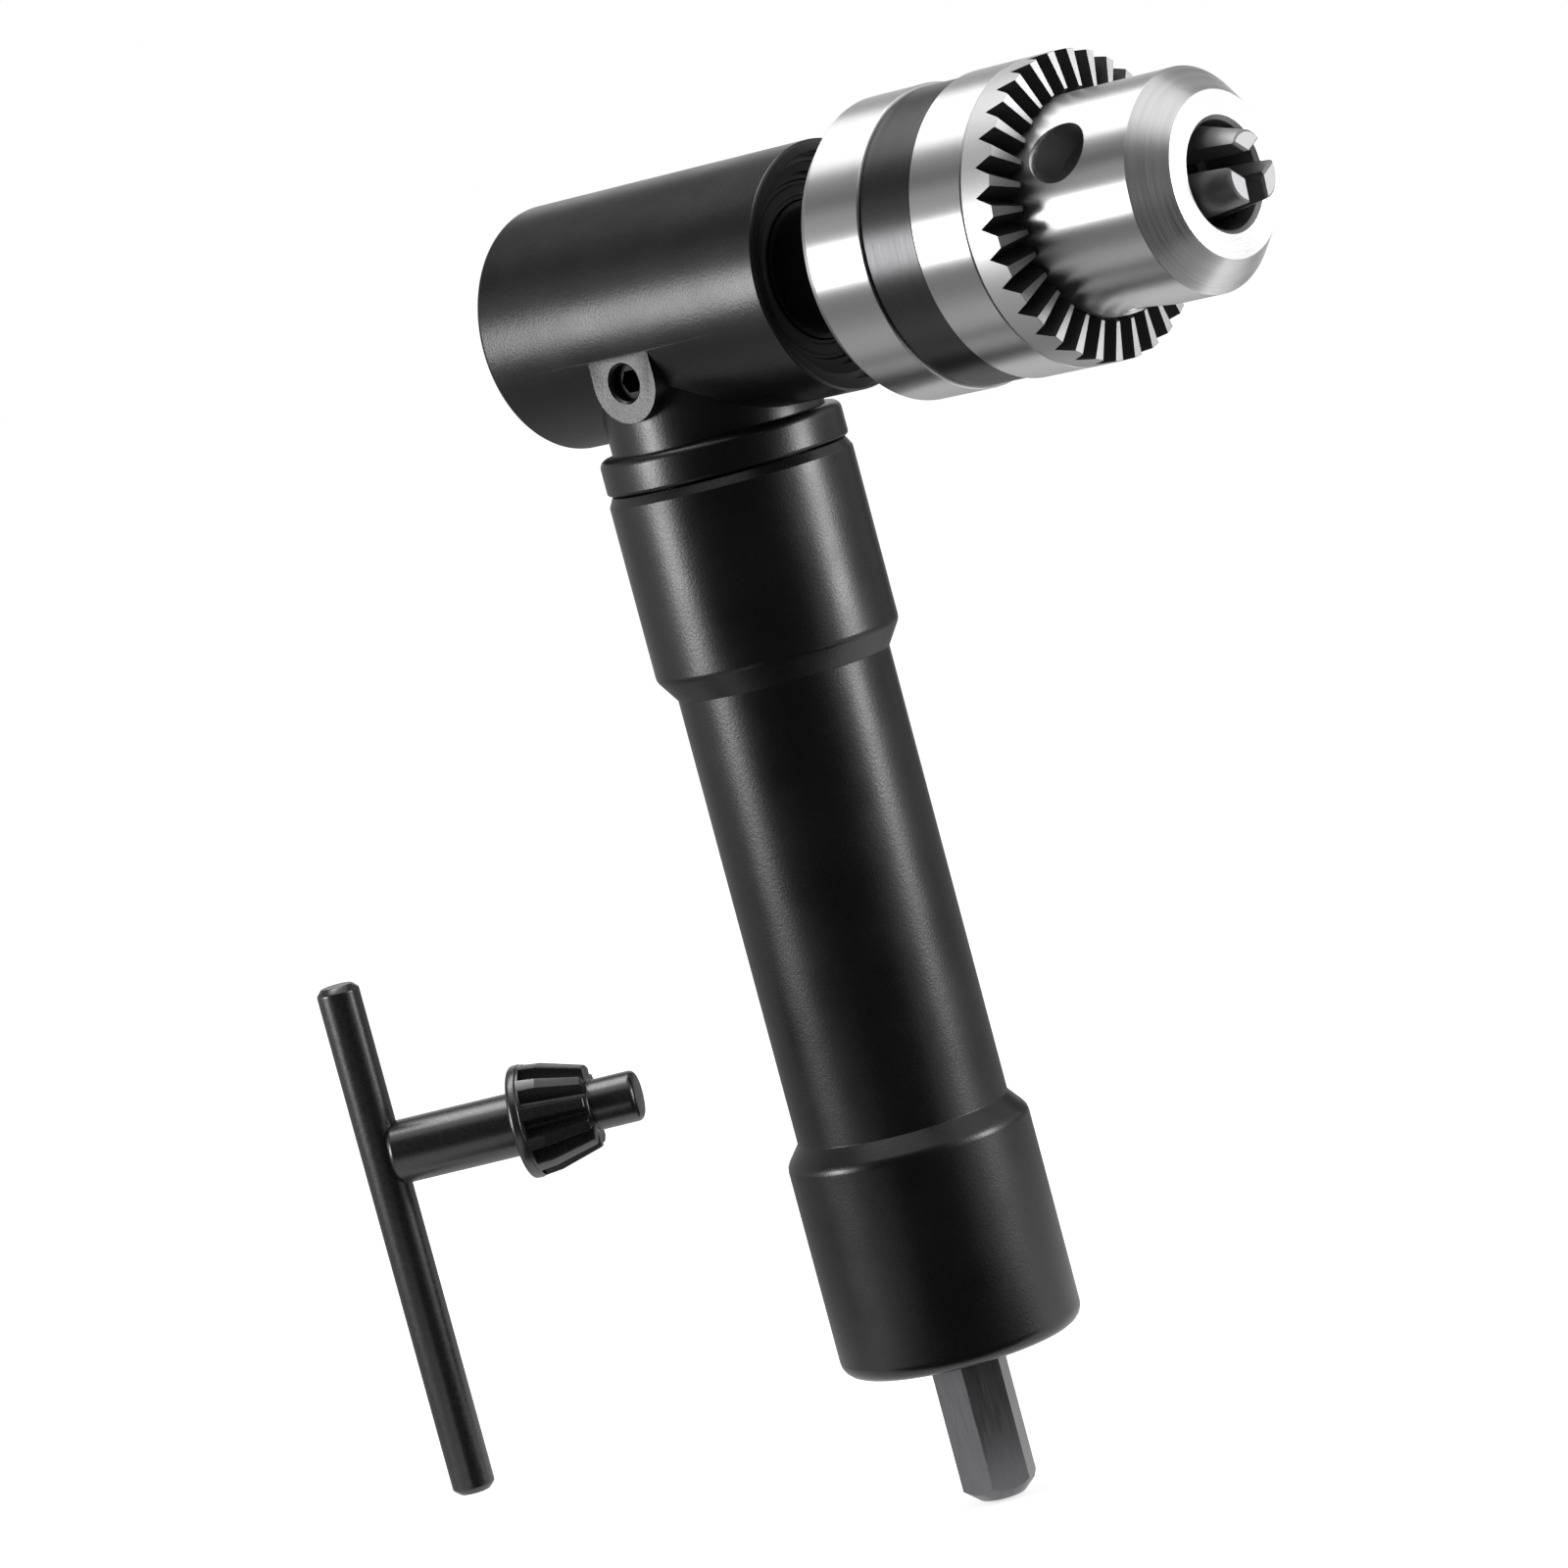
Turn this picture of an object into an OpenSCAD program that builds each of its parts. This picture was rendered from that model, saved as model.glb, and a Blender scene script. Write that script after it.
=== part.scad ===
/* [Head] */
// Height of the chuck axis above the end of the hex shank
axis_height = 142.4; // [120:0.1:170]
// How far the head's round lies inside the handle's, on the radius
head_inset = 0.075; // [0:0.005:0.5]
// From the shank axis back to the closed end of the head
head_back = 19.4; // [16:0.1:26]
// From the shank axis forward to the open rim of the head
head_front = 23.9; // [20:0.1:30]
// Rounding of the closed end's edge
head_edge = 0.8; // [0.2:0.1:2]
// Bevel on the open rim
rim_edge = 0.3; // [0.1:0.05:1]
// Width of the open rim around the recess
rim_width = 1.4; // [0.8:0.1:2]
// Depth of the recess inside the open rim
recess_depth = 1.9; // [1:0.1:4]
// Thickness of the head's wall around the gear chamber
gear_room_wall = 3; // [1.5:0.1:4]
// From the shank axis back to the end of the gear chamber
gear_room_back = 11.4; // [9:0.1:15]
// Thickness of the collar ring, which the neck fills inside
collar_wall = 1.7; // [0.8:0.1:3]
// From the chuck axis down to the shoulder where the handle starts
neck_drop = 19.6; // [15:0.1:25]
// Width of the step above the upper bearing, up to the neck's bore
bearing_seat_step = 0.55; // [0.3:0.05:1]
// Width of the shoulder between the neck and its spigot
spigot_step = 1.05; // [0.4:0.05:2]
// Length of the spigot inside the handle
spigot_length = 11; // [6:0.1:20]
// Width of the U-shaped lug on the side of the neck
lug_width = 9.3; // [6:0.1:14]
// From the chuck axis down to the lug's hole
lug_drop = 6.95; // [4:0.05:12]
// Forward shift of the lug from the shank axis
lug_shift = 0.4; // [-2:0.1:2]
// How far the lug's flat face lies inside the head's outline
lug_inset = 0.55; // [0.2:0.05:2]
// Diameter of the tapped hole in the lug
lug_hole_d = 4.2; // [3:0.1:6]
// Length of the set screw in the lug
lug_screw_length = 3; // [2:0.1:6]
// How far the set screw sits below the lug's face
lug_screw_sink = 1.3; // [0:0.1:4]
// Width across flats of the set screw's socket
lug_screw_hex = 2.5; // [1.5:0.1:4]

/* [Collar and handle] */
// How far the collar's round lies inside the handle's, on the radius
collar_inset = 0.125; // [0:0.005:0.5]
// From the chuck axis down to the top of the collar ring
collar_top_drop = 15.2; // [12:0.1:18]
// Height of the collar ring
collar_width = 4.2; // [2:0.1:8]
// Rounding of the collar ring's top edge
collar_round = 1; // [0.2:0.1:2]
// Diameter of the handle's thick upper part and its cup
handle_d = 28.55; // [25:0.05:34]
// How far the handle's slim middle lies inside its thick part, on the radius
waist_step = 1.825; // [0.5:0.005:3]
// Height of the bevel on the handle's top edge
handle_top_bevel = 1.1; // [0:0.1:3]
// From the chuck axis down to where the upper part starts to taper
handle_taper_drop = 41.1; // [30:0.1:60]
// Height of the taper below the upper part
handle_taper_height = 2.75; // [1:0.05:8]
// From the chuck axis down to where the cup starts to widen
cup_top_drop = 96.8; // [80:0.1:120]
// Height of the widening at the top of the cup
cup_taper_height = 2.3; // [1:0.1:6]
// From the chuck axis down to the handle's bottom face
handle_bottom_drop = 124.5; // [100:0.1:150]
// Rounding of the handle's bottom edge
handle_bottom_round = 2.9; // [0.5:0.1:6]
// Thickness of the handle's wall at its slim middle
waist_wall = 2.95; // [1.5:0.05:4]
// Width of the step between the lower bearing's seat and the mouth
mouth_step = 0.3; // [0.1:0.05:1]

/* [Shaft and bevel gears] */
// Diameter of the input shaft in its bearings
shaft_d = 8; // [6:0.1:12]
// Width across the flats of the hex shank
hex_flats = 8; // [6:0.05:12]
// Length of the hex shank
hex_length = 18.2; // [12:0.1:30]
// Height of the turned bevel at the shank's end
hex_tip_bevel = 1.7; // [0.5:0.1:3]
// Diameter of the flat end of the shank
hex_tip_d = 5.4; // [4:0.1:8]
// Diameter of the shaft's collar above the hex
shaft_collar_d = 11; // [9:0.1:14]
// From the chuck axis down to the top of the input shaft
shaft_top_drop = 5.2; // [4:0.1:8]
// Teeth on each bevel gear
gear_teeth = 16; // [12:1:24]
// Size of the bevel gears' teeth, their pitch diameter for each tooth
gear_tooth_size = 1; // [0.8:0.05:1.5]
// Tooth length as a share of the pitch cone
gear_face_share = 0.32; // [0.2:0.01:0.4]
// Tooth height above the pitch cone
gear_addendum = 0.8; // [0.5:0.05:1.2]
// Gap depth below the pitch cone
gear_dedendum = 1.286; // [0.8:0.01:2]
// Width of each tooth gap at its bottom
gear_gap_floor = 0.6; // [0.3:0.01:1]
// Slope of the tooth flanks in degrees
gear_flank_angle = 24.2; // [14:0.1:30]
// Diameter of the bevel gears' hubs
gear_hub_d = 13.2; // [10:0.1:16]
// Diameter of the cross pins through the hubs
gear_pin_d = 2; // [1:0.1:3]
// From the axes' crossing to each cross pin
gear_pin_place = 12; // [10:0.1:14]
// Diameter of the spindle behind the front bearing
spindle_rear_d = 8; // [6:0.1:10]
// Diameter of the spindle in the front bearing
spindle_d = 12; // [10:0.1:15]
// Diameter of the spindle between the bearing and the chuck
spindle_nose_d = 14.4; // [12:0.1:20]
// Diameter of the spindle's thread in the chuck
spindle_thread_d = 9.525; // [8:0.005:14]
// Length of the spindle's thread in the chuck
spindle_thread_length = 13.4; // [10:0.1:18]

/* [Bearings] */
// Thickness of the head's wall around the front bearing
front_bearing_wall = 2.2; // [1:0.1:3]
// Width of the front bearing
front_bearing_width = 6; // [4:0.1:8]
// From the shank axis forward to the front bearing
front_bearing_place = 14.6; // [12:0.1:20]
// Outside diameter of the rear bearing
rear_bearing_d = 16; // [13:0.1:20]
// Width of the rear bearing
rear_bearing_width = 5; // [3:0.1:7]
// Thickness of the spigot's wall around the upper bearing
spigot_wall = 1.9; // [1:0.1:3]
// Width of the upper shaft bearing
upper_bearing_width = 6; // [4:0.1:8]
// From the chuck axis down to the upper shaft bearing
upper_bearing_drop = 15.5; // [12:0.1:20]
// Thickness of the cup's wall around the lower bearing
cup_wall = 3.275; // [1.5:0.005:4]
// Width of the lower shaft bearing
lower_bearing_width = 7; // [5:0.1:9]
// From the chuck axis down to the lower shaft bearing
lower_bearing_drop = 113.5; // [90:0.1:130]
// Thickness of a bearing ring as a share of its space
ring_share = 0.3; // [0.2:0.01:0.4]
// Ball diameter as a share of the ring space
ball_share = 0.62; // [0.4:0.01:0.7]
// Play between a ball and its groove
ball_play = 0.03; // [0.01:0.01:0.1]
// Thickness of the thin ring that joins a bearing's balls
ball_link = 0.3; // [0.2:0.05:0.6]
// Thickness of the circlips
circlip_thickness = 1; // [0.6:0.1:2]
// How deep a circlip sits in its groove
circlip_depth = 0.65; // [0.3:0.05:1]
// Width of a circlip's ring
circlip_width = 1.7; // [1:0.1:3]
// Opening of a circlip in degrees
circlip_gap = 34; // [20:1:60]
// Outside diameter of the long spacer sleeve
spacer_d = 10.8; // [9:0.1:14]

/* [Chuck] */
// From the shank axis forward to the back of the chuck
chuck_back = 33.1; // [28:0.1:40]
// Length of the bevel at the back of the chuck
chuck_back_bevel = 1.4; // [0.5:0.1:3]
// Outside diameter of the chuck
chuck_d = 34; // [30:0.1:40]
// From the shank axis to the end of the rear band
band_end = 42.3; // [38:0.1:46]
// From the shank axis to the end of the dark ring
ring_end = 49.6; // [46:0.1:54]
// How far the dark ring lies inside the chuck's outline
dark_ring_inset = 0.35; // [0.1:0.05:1]
// From the chuck's outline down to the seat of the dark ring
dark_ring_seat = 2.2; // [1.5:0.1:3]
// From the shank axis to the toothed sleeve's front edge
sleeve_edge = 61.25; // [60:0.05:64]
// From the shank axis to the fine line round the toothed sleeve
sleeve_line = 57.1; // [54:0.1:59]
// Depth of that fine line
sleeve_line_size = 0.15; // [0.05:0.05:0.4]
// From the shank axis to the front of the toothed sleeve at the nose
sleeve_front = 62; // [61:0.1:66]
// Gap behind the toothed sleeve
sleeve_seam = 0.15; // [0.1:0.01:0.5]
// Radial play of the sleeve on the chuck's nose
sleeve_play = 0.06; // [0.02:0.01:0.1]
// Teeth on the toothed sleeve
sleeve_teeth = 32; // [24:1:36]
// From the shank axis to where a tooth gap ends on the sleeve's outside
tooth_gap_tip = 59.2; // [58:0.05:60]
// From the shank axis to a gap's floor at the nose
tooth_gap_floor = 60.1; // [59:0.05:61]
// Half of the angle between a gap's two sides
tooth_gap_angle = 28; // [14:0.5:35]
// Diameter of the chuck's nose
nose_d = 24.6; // [22:0.1:28]
// From the shank axis to where the nose starts to narrow
nose_shoulder = 75.9; // [70:0.1:80]
// From the shank axis to the flat front of the chuck
nose_end = 79.4; // [74:0.1:84]
// Diameter of the flat front face
face_d = 18.3; // [15:0.1:22]
// Diameter of the chuck's mouth
mouth_d = 12.4; // [10:0.1:14]
// Depth of the mouth's wide part
mouth_depth = 7; // [4:0.1:12]
// Diameter of the hollow in front of the retaining screw
core_hole_d = 9.6; // [8:0.1:11]
// From the shank axis to the bottom of that hollow
core_hole_back = 50; // [48:0.1:54]
// Diameter of the three key holes in the nose
key_hole_d = 6.8; // [5:0.1:8]
// Bevel at the mouth of each key hole
key_hole_bevel = 0.35; // [0.1:0.05:0.8]
// From the shank axis forward to the key holes
key_hole_place = 66.3; // [64:0.1:70]
// Angle of the first key hole around the chuck axis
key_hole_turn = 146; // [120:1:170]
// Diameter on which the key holes end
key_hole_floor_d = 14.6; // [12:0.1:18]
// Thickness of the split nut's wall
nut_wall = 3.8; // [2.5:0.1:5]
// From the shank axis to the back of the split nut
nut_back = 51.9; // [50:0.1:54]
// From the shank axis to the front of the split nut
nut_front = 57.5; // [55:0.1:59]
// Thickness of the toothed sleeve's wall around the split nut
sleeve_wall = 2.8; // [1.5:0.1:4]
// Width of the thrust washer behind the split nut
washer_width = 1.3; // [0.8:0.1:2]
// Diameter of the retaining screw
retaining_screw_d = 5; // [4:0.1:6]
// Diameter of the retaining screw's head
retaining_head_d = 8.4; // [7:0.1:9]
// Height of the retaining screw's head
retaining_head_height = 3; // [2:0.1:4]
// From the shank axis to the tip of the retaining screw
retaining_screw_end = 36; // [34:0.1:42]

/* [Jaws] */
// Diameter of each jaw
jaw_d = 6; // [5:0.1:7]
// Radial play of a jaw in its hole
jaw_play = 0.06; // [0.03:0.01:0.1]
// Slope of the jaws to the chuck axis in degrees
jaw_angle = 14; // [12:0.5:17]
// From the shank axis forward to the tips of the jaws
jaw_tip = 83.6; // [80:0.1:90]
// From the shank axis to the jaws' back ends
jaw_back = 48.3; // [45:0.1:52]
// From the shank axis to the bottom of the jaw holes
jaw_hole_back = 34.25; // [34:0.05:40]
// Distance of a jaw's own axis from the chuck axis at its tip
jaw_tip_offset = 1.1; // [0.5:0.05:2]
// Angle of the first jaw around the chuck axis
jaw_turn = 86; // [60:1:110]
// Diameter held by the jaws as they stand
grip_d = 3.2; // [1.5:0.1:10]
// Distance of the jaws' ridge line from the chuck axis
grip_edge = 1.19; // [0.5:0.01:3]
// Spacing of the thread teeth on the jaws
jaw_thread_step = 1.6; // [1:0.1:2.5]
// Depth of the thread teeth on the jaws
jaw_thread_depth = 0.75; // [0.3:0.05:1.2]
// Thread grooves on each jaw
jaw_thread_count = 11; // [4:1:12]

/* [Loose chuck key] */
// Forward place of the key's bar
key_x = -43.7; // [-80:0.1:-30]
// Sideways place of the key's bar
key_y = -39.2; // [-60:0.1:-10]
// Height of the key's shaft above the end of the hex shank
key_height = 56.6; // [20:0.1:100]
// Direction of the key's shaft in degrees
key_aim = 33; // [0:1:60]
// Diameter of the key's cross bar
key_bar_d = 5; // [4:0.1:7]
// Length of the bar above the shaft
key_bar_up = 20.4; // [15:0.1:40]
// Length of the bar below the shaft
key_bar_down = 40.4; // [20:0.1:50]
// Bevel on the bar's ends
key_bar_bevel = 0.7; // [0.2:0.1:1.5]
// From the bar's axis to the end of the key's shaft
key_saddle_place = 1.4; // [1:0.1:2]
// Bevel on the end of the key's shaft
key_saddle_bevel = 0.6; // [0.2:0.1:1.2]
// Diameter of the key's shaft
key_shaft_d = 7.35; // [6:0.05:10]
// From the bar to the flange behind the pinion
key_flange_place = 16.7; // [14:0.1:24]
// Diameter of the flange behind the pinion
key_flange_d = 13.2; // [10:0.1:16]
// Thickness of the flange
key_flange_width = 1.3; // [0.8:0.1:3]
// Teeth on the key's pinion
key_teeth = 11; // [8:1:14]
// Diameter over the teeth near the flange
key_pinion_big_d = 13; // [10:0.1:15]
// Diameter over the teeth where they start to taper
key_pinion_kink_d = 12.5; // [10:0.1:15]
// Length of the pinion's fuller part
key_pinion_kink = 2.2; // [1:0.1:5]
// Diameter over the teeth at the pinion's front
key_pinion_small_d = 9.6; // [8:0.1:12]
// Length of the key's pinion
key_pinion_length = 7.3; // [5:0.1:10]
// Diameter at the bottom of the gaps near the flange
key_root_big_d = 9.4; // [7:0.1:11]
// Diameter at the bottom of the gaps at the pinion's front
key_root_small_d = 7; // [5:0.1:8]
// Width of each gap between the pinion's teeth at its bottom
key_gap_floor = 0.32; // [0.1:0.02:0.8]
// Half of the angle between two of the pinion's teeth
key_gap_angle = 29; // [20:1:45]
// Diameter of the key's pilot
key_pilot_d = 5.9; // [5:0.1:7]
// Length of the key's pilot
key_pilot_length = 5.5; // [4:0.1:8]
// Bevel on the pilot's end
key_pilot_bevel = 0.6; // [0.2:0.1:1.5]

/* [Hidden] */
$fn = 96;
head_d = handle_d - 2 * head_inset;
collar_d = handle_d - 2 * collar_inset;
neck_d = collar_d - 2 * collar_wall;
spigot_d = neck_d - 2 * spigot_step;
upper_bearing_d = spigot_d - 2 * spigot_wall;
neck_bore_d = upper_bearing_d - 2 * bearing_seat_step;
handle_waist_d = handle_d - 2 * waist_step;
handle_bore_d = handle_waist_d - 2 * waist_wall;
lower_bearing_d = handle_d - 2 * cup_wall;
handle_mouth_d = lower_bearing_d + 2 * mouth_step;
recess_d = head_d - 2 * rim_width;
front_bearing_d = head_d - 2 * front_bearing_wall;
gear_room_d = head_d - 2 * gear_room_wall;
lug_reach = head_d / 2 - lug_inset;
dark_ring_d = chuck_d - 2 * dark_ring_inset;
chuck_core_d = chuck_d - 2 * dark_ring_seat;
nut_d = chuck_d - 2 * sleeve_wall;
washer_step_d = nut_d - 2 * washer_width;
nut_groove_d = nut_d - 2 * nut_wall;
third_turn = 120;
taper_turn = 52;
cup_turn = 40;
head_r = head_d / 2;
neck_r = neck_d / 2;
handle_r = handle_d / 2;
waist_r = handle_waist_d / 2;
chuck_r = chuck_d / 2;
nose_r = nose_d / 2;
shaft_r = shaft_d / 2;
hub_r = gear_hub_d / 2;
pitch_r = gear_tooth_size * gear_teeth / 2;
edge_share = cos(45);
rear_relief_share = 0.7;
ear_share = 0.75;
ear_hole_share = 0.45;
ear_turn = 4;
socket_share = 0.6;
back_bevel_share = 0.75;
screw_hex_share = 0.8;
thread_wide_share = 0.62;
gap_start_share = 0.125;
gap_turn_share = 0.724;
tip_r = pitch_r + gear_addendum * edge_share;
tip_back = pitch_r - gear_addendum * edge_share;
root_r = pitch_r - gear_dedendum * edge_share;
root_back = pitch_r + gear_dedendum * edge_share;
root_angle = atan2(root_r, root_back);
root_reach = norm([root_r, root_back]);
gear_inner_share = 1 - gear_face_share;
gap_top = gear_dedendum + gear_addendum + gear_tooth_size / 2;
spindle_start = -gear_room_back - rear_bearing_width;
jaw_r = jaw_d / 2;
jaw_hole_r = jaw_r + jaw_play;
jaw_length = (jaw_tip - jaw_back) / cos(jaw_angle);
jaw_hole_length = (jaw_tip - jaw_hole_back) / cos(jaw_angle);
jaw_slope = tan(jaw_angle);
hollow_reach = chuck_d;
key_reach = key_flange_place + key_flange_width;

// Points along an arc of a section
function arc(cx, cy, r, from, to, steps) =
    [for (i = [0 : steps]) [
        cx + r * cos(from + (to - from) * i / steps),
        cy + r * sin(from + (to - from) * i / steps)
    ]];

// Puts a piece drawn upwards onto the chuck axis, pointing forward
module on_chuck_axis() {
    translate([0, 0, axis_height])
        rotate([0, 90, 0])
            children();
}

// Puts a piece at the crossing of the two axes
module at_crossing() {
    translate([0, 0, axis_height])
        children();
}

// A plain round bar from one height to another
module bar(d, from, to) {
    translate([0, 0, from])
        cylinder(h = to - from, d = d);
}

// A plain tube from one height to another
module tube(outer_d, inner_d, from, to) {
    difference() {
        bar(outer_d, from, to);
        bar(inner_d, from - shaft_d, to + shaft_d);
    }
}

// Six-sided bar by its width across flats
module hex_bar(flats, from, to) {
    translate([0, 0, from])
        linear_extrude(height = to - from)
            circle(d = flats / cos(30), $fn = 6);
}

// One ring of a ball bearing with the balls' groove
module bearing_ring(ring_outer_d, ring_inner_d, ball_circle_d, ball_d, from, width) {
    translate([0, 0, from])
        rotate_extrude()
            difference() {
                translate([ring_inner_d / 2, 0])
                    square([(ring_outer_d - ring_inner_d) / 2, width]);
                translate([ball_circle_d / 2, width / 2])
                    circle(d = ball_d + 2 * ball_play, $fn = 48);
            }
}

// Outer ring of a bearing
module outer_ring(outer_d, bore_d, from, width) {
    space = (outer_d - bore_d) / 2;
    bearing_ring(outer_d, outer_d - 2 * space * ring_share,
        (outer_d + bore_d) / 2, space * ball_share, from, width);
}

// Inner ring of a bearing
module inner_ring(outer_d, bore_d, from, width) {
    space = (outer_d - bore_d) / 2;
    bearing_ring(bore_d + 2 * space * ring_share, bore_d,
        (outer_d + bore_d) / 2, space * ball_share, from, width);
}

// Balls of a bearing, held in one thin ring
module ball_set(outer_d, bore_d, from, width, count) {
    space = (outer_d - bore_d) / 2;
    ball_d = space * ball_share;
    circle_d = (outer_d + bore_d) / 2;
    translate([0, 0, from + width / 2]) {
        for (i = [0 : count - 1])
            rotate([0, 0, i * 360 / count])
                translate([circle_d / 2, 0, 0])
                    sphere(d = ball_d, $fn = 48);
        tube(circle_d + ball_link, circle_d - ball_link, -ball_d / 4, ball_d / 4);
    }
}

// Inner circlip in a bore, with its two eared ends
module circlip(bore_d, from, turn) {
    outer_r = bore_d / 2 + circlip_depth;
    inner_r = outer_r - circlip_width;
    ear_r = circlip_width * ear_share;
    translate([0, 0, from])
        rotate([0, 0, turn])
            linear_extrude(height = circlip_thickness)
                difference() {
                    union() {
                        difference() {
                            circle(r = outer_r);
                            circle(r = inner_r);
                            polygon([
                                [0, 0],
                                [bore_d, -bore_d * tan(circlip_gap / 2)],
                                [bore_d, bore_d * tan(circlip_gap / 2)]
                            ]);
                        }
                        for (side = [-1, 1])
                            rotate([0, 0, side * (circlip_gap / 2 + ear_turn)])
                                translate([inner_r - circlip_depth / 2, 0])
                                    circle(r = ear_r);
                    }
                    for (side = [-1, 1])
                        rotate([0, 0, side * (circlip_gap / 2 + ear_turn)])
                            translate([inner_r - circlip_depth, 0])
                                circle(r = ear_r * ear_hole_share, $fn = 32);
                }
}

// Groove for a circlip
module circlip_groove(bore_d, from) {
    bar(bore_d + 2 * circlip_depth, from, from + circlip_thickness);
}

// Bevel gear drawn upwards with its cone's point at the crossing
module bevel_gear(gap_phase, hub_end) {
    difference() {
        rotate_extrude()
            polygon([
                [shaft_r, tip_back * gear_inner_share],
                [tip_r * gear_inner_share, tip_back * gear_inner_share],
                [tip_r, tip_back],
                [hub_r, tip_back + tip_r - hub_r],
                [hub_r, hub_end],
                [shaft_r, hub_end]
            ]);
        for (i = [0 : gear_teeth - 1])
            rotate([0, 0, (i + gap_phase) * 360 / gear_teeth])
                rotate([0, root_angle, 0])
                    translate([0, 0, root_reach * gear_inner_share / 2])
                        linear_extrude(height = root_reach)
                            polygon([
                                [0, -gear_gap_floor / 2],
                                [gap_top, -gear_gap_floor / 2 - gap_top * tan(gear_flank_angle)],
                                [gap_top, gear_gap_floor / 2 + gap_top * tan(gear_flank_angle)],
                                [0, gear_gap_floor / 2]
                            ]);
        translate([0, 0, gear_pin_place])
            rotate([0, 90, 0])
                cylinder(h = gear_hub_d * 2, d = gear_pin_d, center = true);
    }
}

// Moves a piece from a jaw's own axis, tip at zero, onto the chuck axis
module on_jaw_axis(turn) {
    on_chuck_axis()
        rotate([0, 0, turn + 90])
            translate([jaw_tip_offset, 0, jaw_tip])
                rotate([0, -jaw_angle, 0])
                    children();
}

// Head with its neck, side lug and spigot
module head_housing() {
    color([0.09, 0.09, 0.1])
        difference() {
            union() {
                on_chuck_axis()
                    rotate_extrude()
                        polygon(concat(
                            [[0, -head_back]],
                            arc(head_r - head_edge, -head_back + head_edge, head_edge, -90, 0, 4),
                            [[head_r, head_front - rim_edge]],
                            [[head_r - rim_edge, head_front]],
                            [[0, head_front]]
                        ));
                at_crossing()
                    bar(neck_d, -neck_drop, 0);
                at_crossing()
                    bar(spigot_d, -neck_drop - spigot_length, 0);
                at_crossing()
                    translate([lug_shift, 0, -lug_drop])
                        rotate([90, 0, 0])
                            linear_extrude(height = lug_reach)
                                union() {
                                    circle(d = lug_width);
                                    translate([-lug_width / 2, 0])
                                        square([lug_width, lug_drop]);
                                }
            }
            on_chuck_axis() {
                bar(rear_bearing_d, -gear_room_back - rear_bearing_width, 0);
                bar(rear_bearing_d * rear_relief_share, -gear_room_back - rear_bearing_width - gear_tooth_size, 0);
                bar(gear_room_d, -gear_room_back, front_bearing_place);
                bar(front_bearing_d, front_bearing_place, head_front);
                circlip_groove(front_bearing_d, front_bearing_place + front_bearing_width);
                bar(recess_d, head_front - recess_depth, head_front + shaft_d);
            }
            at_crossing() {
                bar(neck_bore_d, -upper_bearing_drop, 0);
                bar(upper_bearing_d, -neck_drop - spigot_length - shaft_d, -upper_bearing_drop);
                circlip_groove(upper_bearing_d,
                    -upper_bearing_drop - upper_bearing_width - circlip_thickness);
                translate([lug_shift, 0, -lug_drop])
                    rotate([90, 0, 0])
                        cylinder(h = lug_reach * 2, d = lug_hole_d, $fn = 48);
            }
        }
}

// Ring around the neck above the handle
module collar_ring() {
    color([0.1, 0.1, 0.11])
        at_crossing()
            rotate_extrude()
                polygon(concat(
                    [[neck_r, -collar_top_drop - collar_width]],
                    [[collar_d / 2 - rim_edge, -collar_top_drop - collar_width]],
                    [[collar_d / 2, -collar_top_drop - collar_width + rim_edge]],
                    arc(collar_d / 2 - collar_round, -collar_top_drop - collar_round,
                        collar_round, 0, 90, 5),
                    [[neck_r, -collar_top_drop]]
                ));
}

// Handle with its thick top, slim middle and cup
module handle_tube() {
    bevel = handle_top_bevel / 2;
    color([0.11, 0.11, 0.12])
        at_crossing()
            difference() {
                rotate_extrude()
                    polygon(concat(
                        [[0, -neck_drop]],
                        [[handle_r - bevel, -neck_drop]],
                        [[handle_r, -neck_drop - handle_top_bevel]],
                        arc(handle_r - bevel * 2, -handle_taper_drop, bevel * 2, 0, -taper_turn, 4),
                        [[waist_r, -handle_taper_drop - handle_taper_height]],
                        [[waist_r, -cup_top_drop]],
                        arc(handle_r - bevel * 2, -cup_top_drop - cup_taper_height, bevel * 2, cup_turn, 0, 3),
                        arc(handle_r - handle_bottom_round,
                            -handle_bottom_drop + handle_bottom_round,
                            handle_bottom_round, 0, -90, 6),
                        [[0, -handle_bottom_drop]]
                    ));
                bar(spigot_d, -neck_drop - spigot_length, shaft_d);
                bar(handle_bore_d, -handle_bottom_drop, 0);
                bar(lower_bearing_d, -handle_bottom_drop - shaft_d, -lower_bearing_drop);
                circlip_groove(lower_bearing_d,
                    -lower_bearing_drop - lower_bearing_width - circlip_thickness);
                bar(handle_mouth_d, -handle_bottom_drop - shaft_d,
                    -handle_bottom_drop + gear_tooth_size);
            }
}

// Set screw in the lug
module lug_set_screw() {
    color([0.2, 0.2, 0.21])
        at_crossing()
            translate([lug_shift, -lug_reach + lug_screw_sink, -lug_drop])
                rotate([-90, 0, 0])
                    difference() {
                        bar(lug_hole_d, 0, lug_screw_length);
                        hex_bar(lug_screw_hex, -gear_tooth_size, lug_screw_length * socket_share);
                    }
}

// Circlip in front of the front bearing
module front_circlip() {
    color([0.16, 0.16, 0.17])
        on_chuck_axis()
            circlip(front_bearing_d, front_bearing_place + front_bearing_width, 42);
}

// Outer ring of the spindle's front bearing, held in the head
module front_bearing_outer_ring() {
    color([0.75, 0.75, 0.77])
        on_chuck_axis()
            outer_ring(front_bearing_d, spindle_d, front_bearing_place, front_bearing_width);
}

// Outer ring of the spindle's rear bearing
module rear_bearing_outer_ring() {
    color([0.75, 0.75, 0.77])
        on_chuck_axis()
            outer_ring(rear_bearing_d, spindle_rear_d, spindle_start, rear_bearing_width);
}

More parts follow.
